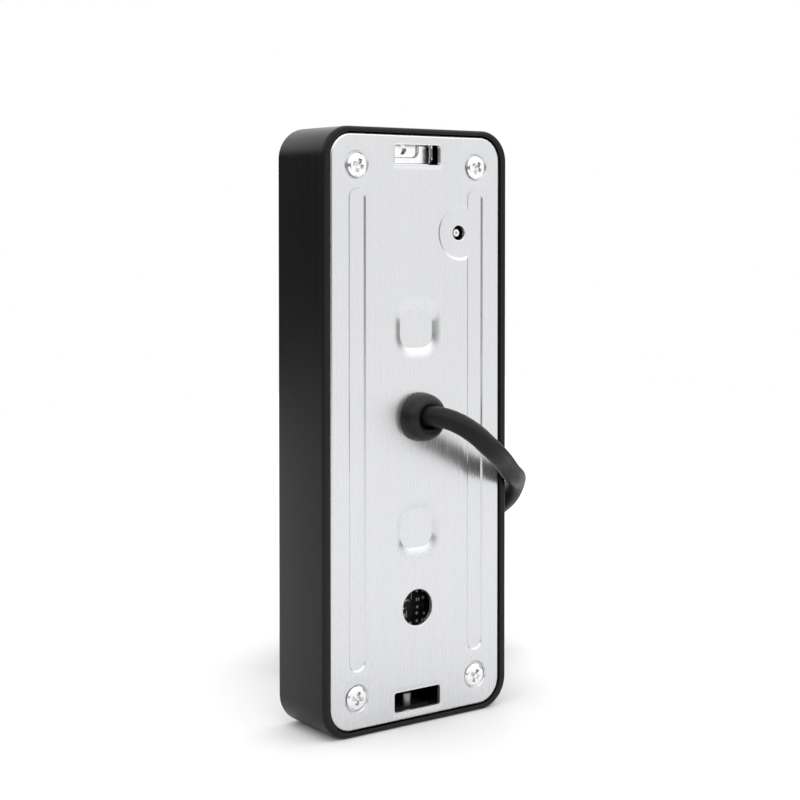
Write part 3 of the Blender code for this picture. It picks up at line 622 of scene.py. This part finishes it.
def make_tie():
    """A cable tie round both turns and the tail on them, with its head inside the coil."""
    centre = np.array(coil_point(TIE_TURN, COIL_R, 0.0))
    angle = COIL_START + TIE_TURN
    out, along = np.array((cos(angle), sin(angle), 0)), np.array((-sin(angle), cos(angle), 0))
    tall = 2 * CORD_R * (COIL_TURNS + 1) + 2 * TIE_T
    strap = Shape()
    inner = rounded(2 * CORD_R + 0.2, tall - 2 * TIE_STRAP, 2.5, 0, tall / 2, 8)
    outer = rounded(2 * CORD_R + 1.2, tall, 3.0, 0, tall / 2, 8)
    rows = []
    for loop, side in ((inner, -1), (outer, -1), (outer, 1), (inner, 1), (inner, -1)):
        rows.append([centre + out * x + along * side * TIE_HALF + np.array((0, 0, z))
                     for x, z in loop])
    strap.skin(rows)
    head = centre - out * (CORD_R + TIE_HALF)
    for low, high, half in ((2.2, 5.6, 2.1), (5.6, 9.0, 0.9)):
        block = [[head + out * (dx * (1.2 if half > 1 else 0.5)) + along * dy * half
                  + np.array((0, 0, z)) for dx, dy in ((1, 1), (-1, 1), (-1, -1), (1, -1))]
                 for z in (low, high)]
        ends = strap.skin(block)
        strap.cap(ends[0])
        strap.cap(ends[1])
    tie = strap.made("cable_tie", "black_plastic")
    soften_edges(tie, 0.15)
    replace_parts(tie, "cord_tie")
    return tie


def soften_edges(obj, size, steps=2):
    bevel = obj.modifiers.new("soft_edges", "BEVEL")
    bevel.width, bevel.segments, bevel.limit_method = size * MM, steps, "ANGLE"
    bevel.angle_limit = radians(50)
    bevel.harden_normals = False


# Places along the connector, from its boot's start, and the sizes of its shell.
BOOT_END, SHELL_START, SHELL_END, SOCKET_FLOOR = 12.0, 12.3, 36.3, 22.4
SHELL_W, SHELL_H = 15.6, 13.6
WIRE_PITCH, WIRE_HALF = 1.02, (0.2, 0.15)
MOUTH = ((-5.9, -2.8), (-3.1, -2.8), (-3.1, -4.6), (3.1, -4.6), (3.1, -2.8), (5.9, -2.8),
         (5.9, 4.0), (-5.9, 4.0))


def along_plug(loop, reach):
    """A loop of (side, height) points put at `reach` along the connector."""
    end, ahead, side = plug_frame()
    return [end + ahead * reach + side * s + np.array((0, 0, h)) for s, h in loop]


def make_connector():
    """The boot, the shell with its socket, and the contacts of the network connector."""
    boot = Shape()
    profile = [(CORD_R + 0.05, 3.4), (CORD_R + 0.05, 0.3), (3.3, 0.3), (3.5, 1.0)]
    for rib in range(4):
        start = 2.0 + rib * 1.9
        size = 3.6 + rib * 0.3
        profile += [(size, start), (size + 0.25, start + 0.3), (size + 0.25, start + 1.0),
                    (size, start + 1.3)]
    profile += [(5.1, 9.8), (5.3, 10.3), (5.3, BOOT_END), (0.2, BOOT_END)]
    rows = [along_plug([(r * cos(a), r * sin(a)) for a in np.arange(48) * tau / 48], y)
            for r, y in profile]
    ends = boot.skin(rows)
    boot.cap(ends[-1])
    boot.cap(ends[0])
    boot_piece = boot.made("connector_sleeve", "black_rubber", angle=50)
    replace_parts(boot_piece, "connector_boot")

    shell = Shape()

    def ring(inset, reach, radius):
        loop = rounded(SHELL_W - 2 * inset, SHELL_H - 2 * inset, radius, steps=6)
        return along_plug(loop, reach)

    rows = [ring(1.1, SHELL_START, 0.6), ring(0.5, 12.4, 1.0), ring(0.1, 12.8, 1.3),
            ring(0, 13.4, 1.4)]
    for groove in range(4):
        start = 15.5 + groove * 1.8
        rows += [ring(0, start, 1.4), ring(0.35, start + 0.25, 1.1), ring(0.35, start + 0.65, 1.1),
                 ring(0, start + 0.9, 1.4)]
    rows += [ring(0, 35.2, 1.4), ring(0.1, 35.8, 1.3), ring(0.6, SHELL_END, 0.9)]
    ends = shell.skin(rows)
    shell.cap(ends[0])
    mouth = [tuple(p) for p in softened(MOUTH, 0.3, 2, closed=True)]
    lip = rounded(SHELL_W - 1.2, SHELL_H - 1.2, 0.9, steps=6)
    flat, faces = triangulate([lip, mouth], lambda c: ~within(c, mouth))
    shell.triangles(along_plug(flat, SHELL_END), faces)
    ends = shell.skin([along_plug(mouth, SHELL_END), along_plug(mouth, SOCKET_FLOOR)])
    shell.cap(ends[1])
    shell_piece = shell.made("connector_housing", "black_plastic")
    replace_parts(shell_piece, "connector_shell")

    wires = Shape()
    for i in range(8):
        s, (wide, tall) = (i - 3.5) * WIRE_PITCH, WIRE_HALF
        path = [(22.6, 3.6), (24.5, 3.6), (25.2, 3.2), (31.0, 1.2), (31.4, 1.5)]
        rows = [along_plug([(s - wide, h - tall), (s + wide, h - tall), (s + wide, h + tall),
                            (s - wide, h + tall)], reach) for reach, h in path]
        ends = wires.skin(rows)
        wires.cap(ends[0])
        wires.cap(ends[-1])
    wires_piece = wires.made("connector_wires", "brass")
    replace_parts(wires_piece, "connector_contacts")
    return boot_piece, shell_piece, wires_piece


def make_gland():
    """The rubber dome, moulded with a soft lip round the cable."""
    shape = Shape()
    inner, seat = CORD_R + 0.18, PLATE_OUT + 0.05
    profile = [(0.02, 10.7), (inner, 10.7), (inner, 14.3, 0.3), (inner + 0.8, 14.95, 0.6),
               (4.6, 14.8, 1.3), (5.7, 13.7, 1.6), (6.1, 12.0, 1.2),
               (6.2, PLATE_OUT + 0.25, 0.25), (5.7, seat), (4.75, seat), (4.75, 9.0),
               (6.3, 9.0), (6.3, 7.8), (0.02, 7.8)]
    shape.lathe(softened(profile, 0.08, 6), GLAND_X - GLAND_SHIFT, GLAND_Z, 96)
    gland = shape.made("cable_gland_dome", "black_rubber", angle=60)
    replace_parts(gland, "cable_gland")
    return gland


# The rear plate -------------------------------------------------------------------------------

# Grooves and slots: middle x and z, width, height, corner radius. Dimples: width, height, corner
# radius, at the plate's face and at the floor. A halo is the shallow sink round a press mark.
GROOVES = [(side * GROOVE_X, sum(GROOVE_Z) / 2, GROOVE_W, GROOVE_Z[1] - GROOVE_Z[0], GROOVE_W / 2)
           for side in (-1, 1)]
GROOVE_DEEP, GROOVE_SLOPE = 0.4, 0.62
RECESS_R, RECESS_DEEP, RECESS_SLOPE, RECESS_DISH = 7.2, 0.42, 0.9, 0.35
DIMPLE_OUT, DIMPLE_IN = (15.5, 16.6, 6.0), (10.0, 9.6, 3.4)
DIMPLE_DEEP, DIMPLE_CURVE = 0.8, 1.7
DISH_R, DISH_FLOOR = 3.7, 0.9
DISH_DEEP, DISH_SLOPE = 0.38, 0.42
SEAT_R, SEAT_SLOPE = 3.24, 0.14  # the deeper step in each dish that a screw's head lies in
SCREW_HOLE_R = 1.8
HALO, DISH_HALO, SLOT_HALO = 0.05, 0.07, 0.12
SLOTS = [(0.0, z, *SLOT_SIZE, 0.7) for z in SLOT_Z]
ROUND_HOLES = [(GLAND_X, GLAND_Z, GLAND_R), (0.0, ACCESS_Z, ACCESS_R), (RESET_X, RESET_Z, RESET_R)]
SCREWS = [(side * BOSS_X, z) for z in reversed(BOSS_Z) for side in (1, -1)]


def plate_relief(points):
    """How far the plate's outer face lies below its flat, at (x, z) points."""
    points = np.asarray(points, float)
    edge = -past_edge(points, PLATE_W, PLATE_H, PLATE_R, 0, MIDDLE_Z)
    short = np.clip(PLATE_ROUND - edge, 0, PLATE_ROUND)
    relief = PLATE_ROUND - np.sqrt(PLATE_ROUND**2 - short**2 * 0.98)
    pressed = np.zeros(len(points))
    halo = np.zeros(len(points))
    for x, z, w, h, r in GROOVES:
        out = past_edge(points, w, h, r, x, z)
        pressed = np.maximum(pressed, GROOVE_DEEP * ease(-out / GROOVE_SLOPE))
        halo = np.maximum(halo, HALO * ease(1 - out / 1.4))
    far = np.linalg.norm(points - (RESET_X, RESET_Z), axis=1)
    floor_r = RECESS_R - RECESS_SLOPE
    dish = (RECESS_DEEP * ease((RECESS_R - far) / RECESS_SLOPE)
            + RECESS_DISH * np.clip((floor_r - far) / floor_r, 0, 1))
    pressed = np.maximum(pressed, dish)
    halo = np.maximum(halo, HALO * ease(1 - (far - RECESS_R) / 1.6))
    for z in DIMPLE_Z:
        outer = past_edge(points, *DIMPLE_OUT, 0, z)
        inner = past_edge(points, *DIMPLE_IN, 0, z)
        share = np.clip(-outer / np.maximum(-outer + inner, 1e-6), 0, 1)
        share = np.where(inner <= 0, 1.0, share)
        pressed += DIMPLE_DEEP * share**DIMPLE_CURVE
    for x, z in SCREWS:
        far = np.linalg.norm(points - (x, z), axis=1)
        pressed += (DISH_DEEP * ease((DISH_R - far) / DISH_SLOPE)
                    + (DISH_FLOOR - DISH_DEEP) * ease((SEAT_R - far) / SEAT_SLOPE))
        halo = np.maximum(halo, DISH_HALO * ease(1 - (far - DISH_R) / 1.7))
    for x, z, w, h, r in SLOTS:
        out = past_edge(points, w, h, r, x, z)
        halo = np.maximum(halo, SLOT_HALO * ease(1 - out / 1.5))
        pressed += 0.12 * ease(1 - out / 0.22)
    for x, z, r in ROUND_HOLES:
        pressed += 0.1 * ease(1 - (np.linalg.norm(points - (x, z), axis=1) - r) / 0.2)
    return relief + pressed + halo * (1 - ease(pressed / 0.1))


def plate_loops():
    """The outline and holes, and the rings of points that the press marks need."""
    def grown(x, z, w, h, r, by, steps=10, run=2.5):
        return rounded(w + 2 * by, h + 2 * by, r + by, x, z, steps, run)

    plate = (0.0, MIDDLE_Z, PLATE_W, PLATE_H, PLATE_R)
    loops = [grown(*plate, -by, 14, 2.5) for by in (0, 0.04, 0.12, 0.24, 0.4, 0.56, 0.72, 1.1)]
    for groove in GROOVES:
        loops += [grown(*groove, by, 12) for by in (1.4, 0.9, 0.45, 0.1, 0, -0.1, -0.2, -0.31,
                                                   -0.42, -0.52, -0.62, -0.8)]
    for by in (1.6, 1.0, 0.5, 0.2, 0, -0.12, -0.25, -0.4, -0.55, -0.7, -0.85, -1.0, -2.0, -3.2,
               -4.2):
        loops.append(circle(RESET_X, RESET_Z, RECESS_R + by, 84))
    for z in DIMPLE_Z:
        for t in np.linspace(0, 1, 14):
            size = [a + (b - a) * t for a, b in zip(DIMPLE_OUT, DIMPLE_IN)]
            loops.append(rounded(*size, 0, z, 10, 1.6))
        loops.append(rounded(DIMPLE_IN[0] - 0.3, DIMPLE_IN[1] - 0.3, DIMPLE_IN[2] - 0.15,
                             0, z, 10, 1.6))
    for x, z in SCREWS:
        loops += [circle(x, z, r, 56) for r in (5.4, 4.6, 4.0, 3.72, 3.6, 3.5, 3.4, 3.3, SEAT_R,
                                               3.2, 3.16, 3.1, 2.9, SCREW_HOLE_R)]
    for slot in SLOTS:
        loops += [grown(*slot, by, 5, 1.5) for by in (1.5, 1.0, 0.6, 0.3, 0.22, 0.12, 0.05, 0)]
    for x, z, r in ROUND_HOLES:
        loops += [circle(x, z, r + by, 64) for by in (0.3, 0.2, 0.1, 0.04, 0)]
    return loops


def plate_keeps(centres):
    """Which triangle centres lie on the sheet: inside its outline and outside its holes."""
    keep = past_edge(centres, PLATE_W, PLATE_H, PLATE_R, 0, MIDDLE_Z) < 0
    for x, z, w, h, r in SLOTS:
        keep &= past_edge(centres, w, h, r, x, z) > 0
    for x, z, r in [*ROUND_HOLES, *((x, z, SCREW_HOLE_R) for x, z in SCREWS)]:
        keep &= np.linalg.norm(centres - (x, z), axis=1) > r * 0.9985
    return keep


def make_plate():
    """The stamped sheet, one closed mesh, with normals worked out from its relief."""
    flat, faces = triangulate(plate_loops(), plate_keeps)
    used = np.unique(faces)
    renumber = np.full(len(flat), -1)
    renumber[used] = np.arange(len(used))
    flat, faces = flat[used], renumber[faces]
    count, eps = len(flat), 0.004
    relief = plate_relief(flat)
    slope_x = (plate_relief(flat + (eps, 0)) - plate_relief(flat - (eps, 0))) / (2 * eps)
    slope_z = (plate_relief(flat + (0, eps)) - plate_relief(flat - (0, eps))) / (2 * eps)
    up = np.stack([slope_x, np.ones(count), slope_z], 1)
    up /= np.linalg.norm(up, axis=1)[:, None]
    outer = np.stack([flat[:, 0], PLATE_OUT - relief, flat[:, 1]], 1)
    inner = outer - (0, PLATE_T, 0)
    walls = [(a, b, b + count, a + count) for a, b in border(faces)]
    side = np.zeros((count, 3))
    for a, b, _, _ in walls:
        way = outer[b] - outer[a]
        side[[a, b]] += (way[2], 0, -way[0])
    side /= np.maximum(np.linalg.norm(side, axis=1), 1e-9)[:, None]
    polygons = [tuple(f[::-1]) for f in faces] + [tuple(f + count) for f in faces] + walls
    mesh = bpy.data.meshes.new("rear_plate_sheet")
    mesh.from_pydata([tuple(p * MM) for p in np.vstack([outer, inner])], [],
                     [tuple(int(i) for i in f) for f in polygons])
    mesh.shade_smooth()
    normals = []
    for k, polygon in enumerate(polygons):
        for i in polygon:
            if k < len(faces):
                normals.append(up[i])
            elif k < 2 * len(faces):
                normals.append(-up[i - count])
            else:
                normals.append(side[i % count])
    mesh.normals_split_custom_set([tuple(n) for n in normals])
    plate = place(bpy.data.objects.new("rear_plate_sheet", mesh), "brushed_steel")
    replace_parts(plate, "rear_plate")


# The screws -----------------------------------------------------------------------------------


HEAD_R, HEAD_OUT = 2.92, 0.45
CROSS_LONG, CROSS_HALF = 1.65, 0.5
SHANK_R, SHANK_LONG = 1.5, 8.6
SCREW_OFFSETS = ((-0.3, -0.22), (-0.12, -0.12), (0.05, 0.1), (0.27, -0.15))
SCREW_TURNS = (20, 33, 12, 27)  # degrees


def cross_radius(angle):
    """The outline of a cross recess about its middle, as a radius."""
    turn = (angle + pi / 4) % (pi / 2) - pi / 4
    return min(CROSS_LONG / cos(turn), CROSS_HALF / max(abs(sin(turn)), 1e-6))


def crown(r):
    """How far back a screw's head stands: nearly flat, then rolled over at its rim."""
    top = PLATE_OUT + HEAD_OUT
    return top - 0.10 * (r / HEAD_R) ** 2 - 0.42 * ease((r - HEAD_R + 0.62) / 0.62) ** 1.6


def make_screws():
    """Pan heads with a cross recess, each at its own angle and a little off centre."""
    key = np.arctan2(CROSS_HALF, CROSS_LONG)
    quarter = np.unique(np.round(np.concatenate([
        np.linspace(-key, key, 7), np.linspace(key, pi / 4, 8), -np.linspace(key, pi / 4, 8)]), 6))
    angles = np.concatenate([quarter[:-1] + k * pi / 2 for k in range(4)])
    seat = PLATE_OUT - DISH_FLOOR + 0.02
    for i, ((x, z), (dx, dz), turn) in enumerate(zip(SCREWS, SCREW_OFFSETS, SCREW_TURNS)):
        shape = Shape()
        spin = radians(turn)
        star = np.array([cross_radius(a) for a in angles])
        rows = []
        for share, deep in ((0.001, 1.9), (0.3, 1.8), (0.55, 1.6), (0.85, 1.25), (0.9, 1.1),
                            (1.0, 0.05)):
            rows.append([(r * share, crown(r) - deep) for r in star])
        for share in (0.03, 0.12, 0.3, 0.5, 0.68, 0.8, 0.87, 0.92, 0.96, 0.985, 1.0):
            rows.append([(r + (HEAD_R - r) * share, crown(r + (HEAD_R - r) * share))
                         for r in star])
        rows += [[(r, y)] * len(angles) for r, y in (
            (HEAD_R, seat + 0.1), (HEAD_R - 0.1, seat), (SHANK_R + 0.05, seat),
            (SHANK_R, seat - 0.1), (SHANK_R, seat - 7.5), (0.6, seat - SHANK_LONG),
            (0.01, seat - SHANK_LONG))]
        ends = shape.skin([[(x + dx + r * cos(a + spin), y, z + dz + r * sin(a + spin))
                            for (r, y), a in zip(row, angles)] for row in rows])
        shape.cap(ends[0])
        screw = shape.made(f"plate_screw_{i + 1}", "bright_steel", angle=40)
        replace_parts(screw, f"rear_screw_{i + 1}")


# The housing ----------------------------------------------------------------------------------


def front_holes():
    """The outlines cut through the housing's front wall."""
    holes = [circle(0, CAMERA_Z, 10.5, 72), circle(0, CALL_Z, 12.4, 72), circle(0, MIC_Z, 0.8, 24),
             rounded(16, 4.4, 2.15, 0, IR_Z, 10)]
    for row in range(-2, 3):
        holes.append(rounded(22 - 3.4 * abs(row), 1.4, 0.68, 0, SPEAKER_Z + 3.2 * row, 8))
    return holes


def make_housing():
    """The black shell: rounded outside, rear rim, hollow, with its front openings and bosses."""
    shape = Shape()

    def outline(inset, y, width=BODY_W, height=BODY_H, radius=BODY_R):
        loop = rounded(width - 2 * inset, height - 2 * inset, radius - inset, 0, MIDDLE_Z, 16)
        return at_y(loop, y)

    rows = []
    for a in np.linspace(0, pi / 2, 9):
        rows.append(outline(FRONT_ROUND * (1 - sin(a)), FRONT + FRONT_ROUND * (1 - cos(a))))
    for a in np.linspace(0, pi / 2, 7):
        rows.append(outline(REAR_ROUND * (1 - cos(a)), REAR - REAR_ROUND * (1 - sin(a))))
    for a in np.linspace(0, pi / 2, 4):
        rows.append(outline(-RIM_ROUND * (1 - sin(a)), REAR - RIM_ROUND * (1 - cos(a)), *CAVITY))
    rows.append(outline(0, FRONT + WALL_FRONT, *CAVITY))
    shape.skin(rows)
    holes = front_holes()

    def keep(centres, edge):
        return within(centres, edge) & ~np.any([within(centres, hole) for hole in holes], axis=0)

    face = [(x, z) for x, _, z in outline(FRONT_ROUND, FRONT)]
    floor = [(x, z) for x, _, z in rows[-1]]
    for edge, y in ((face, FRONT), (floor, FRONT + WALL_FRONT)):
        flat, faces = triangulate([edge, *holes], lambda centres: keep(centres, edge))
        shape.triangles(at_y(flat, y), faces)
    for hole in holes:
        shape.skin([at_y(hole, FRONT), at_y(hole, FRONT + WALL_FRONT)])
    housing = shape.made("housing_shell", "black_aluminium", angle=30)
    bosses, start, end = Shape(), FRONT + WALL_FRONT, 8.8
    for x, z in SCREWS:
        bosses.lathe([(1.8, start), (3.2, start), (3.2, 8.6), (3.0, end), (1.8, end),
                      (1.8, start)], x, z, 32)
    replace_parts(housing, "front_housing")
    bosses.made("housing_bosses", "black_aluminium")


# What shows through the plate's openings --------------------------------------------------------


def make_catch():
    """The bright catch behind the top slot: two nested pockets and a threaded hole."""
    low, high = span("hook_keeper")
    middle_x, middle_z = (low[0] + high[0]) / 2, (low[2] + high[2]) / 2
    wide, tall = high[0] - low[0], high[2] - low[2]
    face, far = high[1], low[1]
    upper, pocket = face - 0.75, face - 1.5
    steps = 8
    shape = Shape()

    def ring(width, height, radius, x, z, y):
        return at_y(rounded(width, height, radius, x, z, steps), y)

    hole = circle(1.6, 144.9, 1.35, 4 * (steps + 1))
    rows = [
        ring(wide, tall, 0.8, middle_x, middle_z, far),
        ring(wide, tall, 0.8, middle_x, middle_z, face - 0.2),
        ring(wide - 0.4, tall - 0.4, 0.6, middle_x, middle_z, face),
        ring(wide - 2.0, 5.6, 1.7, -0.1, 144.0, face),
        ring(wide - 2.5, 5.2, 1.5, -0.1, 144.0, face - 0.3),
        ring(wide - 2.9, 5.0, 1.4, -0.1, 144.0, upper),
        ring(9.6, 4.2, 1.7, 1.7, 144.8, upper),
        ring(9.2, 3.9, 1.5, 1.7, 144.8, face - 1.05),
        ring(8.9, 3.7, 1.4, 1.7, 144.8, pocket),
        at_y(hole, pocket),
        at_y(hole, face - 2.4),
    ]
    ends = shape.skin(rows)
    shape.cap(ends[0])
    shape.cap(ends[-1])
    catch = shape.made("hook_catch", "bright_steel", angle=28)
    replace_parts(catch, "hook_keeper")


# The board's traces: middle x and z, width and height.
TRACES = ((0.5, 31.6, 0.14, 4.6), (-0.6, 31.2, 0.14, 3.4), (-1.6, 30.0, 2.0, 0.14),
          (-2.6, 31.4, 0.14, 2.8), (1.7, 27.2, 2.4, 0.14), (2.9, 28.6, 0.14, 2.9),
          (1.4, 25.9, 0.14, 2.4), (-1.1, 26.4, 0.14, 1.8))


def make_board_details():
    """Small surface parts, pads, vias and traces on the board that the access hole shows."""
    face = span("main_board")[1][1]
    rng = np.random.default_rng(7)
    bodies, ends, pads = Shape(), Shape(), Shape()

    def block(shape, x, z, w, h, low_y, high_y):
        rows = shape.skin([[(x + sx * w / 2, y, z + sz * h / 2) for sx, sz in
                            ((1, 1), (-1, 1), (-1, -1), (1, -1))] for y in (low_y, high_y)])
        shape.cap(rows[0])
        shape.cap(rows[1])

    for i in range(7):
        for j in range(6):
            x = -6.5 + 2.1 * i + rng.uniform(-0.25, 0.25)
            z = ACCESS_Z - 5.5 + 2.0 * j + rng.uniform(-0.25, 0.25)
            kind = rng.integers(0, 4)
            if kind == 0:
                block(bodies, x, z, 0.5, 0.5, face, face + 0.35)
                block(ends, x - 0.38, z, 0.26, 0.52, face, face + 0.37)
                block(ends, x + 0.38, z, 0.26, 0.52, face, face + 0.37)
            elif kind == 1:
                block(bodies, x, z, 0.5, 0.5, face, face + 0.3)
                block(ends, x, z - 0.38, 0.52, 0.26, face, face + 0.32)
                block(ends, x, z + 0.38, 0.52, 0.26, face, face + 0.32)
            elif kind == 2:
                for dx in (-0.35, 0.35):
                    block(pads, x + dx, z, 0.3, 0.85, face, face + 0.04)
            else:
                pads.lathe([(0.16, face), (0.36, face), (0.36, face + 0.04), (0.16, face + 0.04),
                            (0.16, face)], x, z, 14)
    for trace in TRACES:
        block(pads, *trace, face, face + 0.05)
    bodies.made("board_chip_bodies", "chip")
    ends.made("board_chip_ends", "bright_steel")
    pads.made("board_pads", "white_plastic")


# The front ------------------------------------------------------------------------------------


def turned_piece(name, node, finish, profile, z, x=0.0, body="body", radius=0.15, steps=96):
    """A turned piece about a line along Y, standing for one CAD node."""
    shape = Shape()
    shape.lathe(softened(profile, radius, 4), x, z, steps)
    piece = shape.made(name, finish, angle=35, body=body)
    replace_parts(piece, node)


def make_front():
    """The camera's and the button's rings and covers, the reset pin and the night window."""
    turned_piece("camera_ring", "camera_bezel", "black_plastic:gloss",
                 [(6.0, -7.4), (12.5, -7.4), (12.5, -8.4), (10.2, -8.4), (10.2, -10.2),
                  (9.7, -10.42), (8.4, -10.42), (7.3, -9.7), (7.3, -8.8), (6.0, -8.8),
                  (6.0, -7.4)], CAMERA_Z)
    turned_piece("camera_cover", "camera_window", "lens_glass:clear",
                 [(0.01, -9.1), (7.0, -9.1), (7.0, -9.9, 0.1), (5.5, -10.05, 1.0),
                  (2.5, -10.13, 1.0), (0.01, -10.15)], CAMERA_Z)
    turned_piece("button_ring", "button_bezel", "bright_steel",
                 [(10.2, -7.4), (14.0, -7.4), (14.0, -8.4), (12.1, -8.4), (12.1, -10.2),
                  (11.7, -10.47), (10.5, -10.47), (10.2, -10.2), (10.2, -7.4)], CALL_Z)
    turned_piece("button_light", "light_ring", "light_guide",
                 [(8.7, -7.8), (9.8, -7.8), (9.8, -10.1), (9.5, -10.33), (9.0, -10.33),
                  (8.7, -10.1), (8.7, -7.8)], CALL_Z)
    turned_piece("button_cap", "call_button_cap", "black_plastic:gloss",
                 [(0.01, -3.2), (2.0, -3.2), (2.0, -6.4), (9.4, -6.4), (9.4, -7.4), (8.3, -7.4),
                  (8.3, -10.0, 0.3), (7.7, -10.38, 0.5), (5.2, -10.12, 2.5), (2.5, -9.95, 2.0),
                  (0.01, -9.9)], CALL_Z, body="call_button")
    turned_piece("reset_button_pin", "reset_plunger", "white_plastic",
                 [(0.01, 7.9), (0.38, 7.9), (0.38, 8.6, 0.06), (0.95, 8.6, 0.12), (0.95, 2.2),
                  (0.01, 2.2)], RESET_Z, RESET_X, "reset_button", 0.04, 48)
    shape = Shape()
    rows = [at_y(rounded(15.4 - 2 * i, 3.8 - 2 * i, 1.85 - i, 0, IR_Z, 12), y)
            for i, y in ((0, -8.9), (0, -10.0), (0.1, -10.2), (0.3, -10.3))]
    ends = shape.skin(rows)
    shape.cap(ends[0])
    shape.cap(ends[-1])
    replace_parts(shape.made("night_window", "lens_glass"), "ir_window")


CARRIED = {
    "black_plastic": ("inner_frame", "lock_block", "lens_barrel", "lens_holder", "speaker_basket"),
    # The lock screw behind the bottom slot gets the darkened steel: painted shade for the slot's
    # shade.
    "bright_steel:painted_shade": ("lock_screw",),
    "bright_steel": ("speaker_magnet", "microphone", "capacitor_1", "capacitor_2",
                     "processor_shield", "board_screw_1", "board_screw_2", "board_screw_3",
                     "board_screw_4"),
    "black_rubber": ("mic_boot",),
    "foam": ("rear_gasket", "speaker_gasket", "speaker_cone"),
    "lens_glass": ("lens_element",),
    "chip": ("image_sensor", "light_sensor", "reset_switch_body", "call_switch_body",
             "network_transformer", "power_inductor", "radio_module"),
    "board": ("camera_board", "ir_board", "led_ring_board", "main_board"),
    "led": ("ir_led_1", "ir_led_2"),
    "white_plastic": ("call_switch_plunger", "cable_header", "cable_plug", "ribbon_socket"),
    "cable_jacket": ("inner_wires",),
}


def dress_carried_nodes():
    """Gives each CAD node that still shows its procedural material."""
    for finish, nodes in CARRIED.items():
        for name in nodes:
            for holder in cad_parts[name].material_slots:
                holder.material = finishes[finish]


finishes = make_finishes()
make_camera()
make_studio()
cable = make_cable()
gland = make_gland()
tie = make_tie()
boot, socket_shell, contacts = make_connector()
make_plate()
make_screws()
make_housing()
make_catch()
make_board_details()
make_front()
dress_carried_nodes()
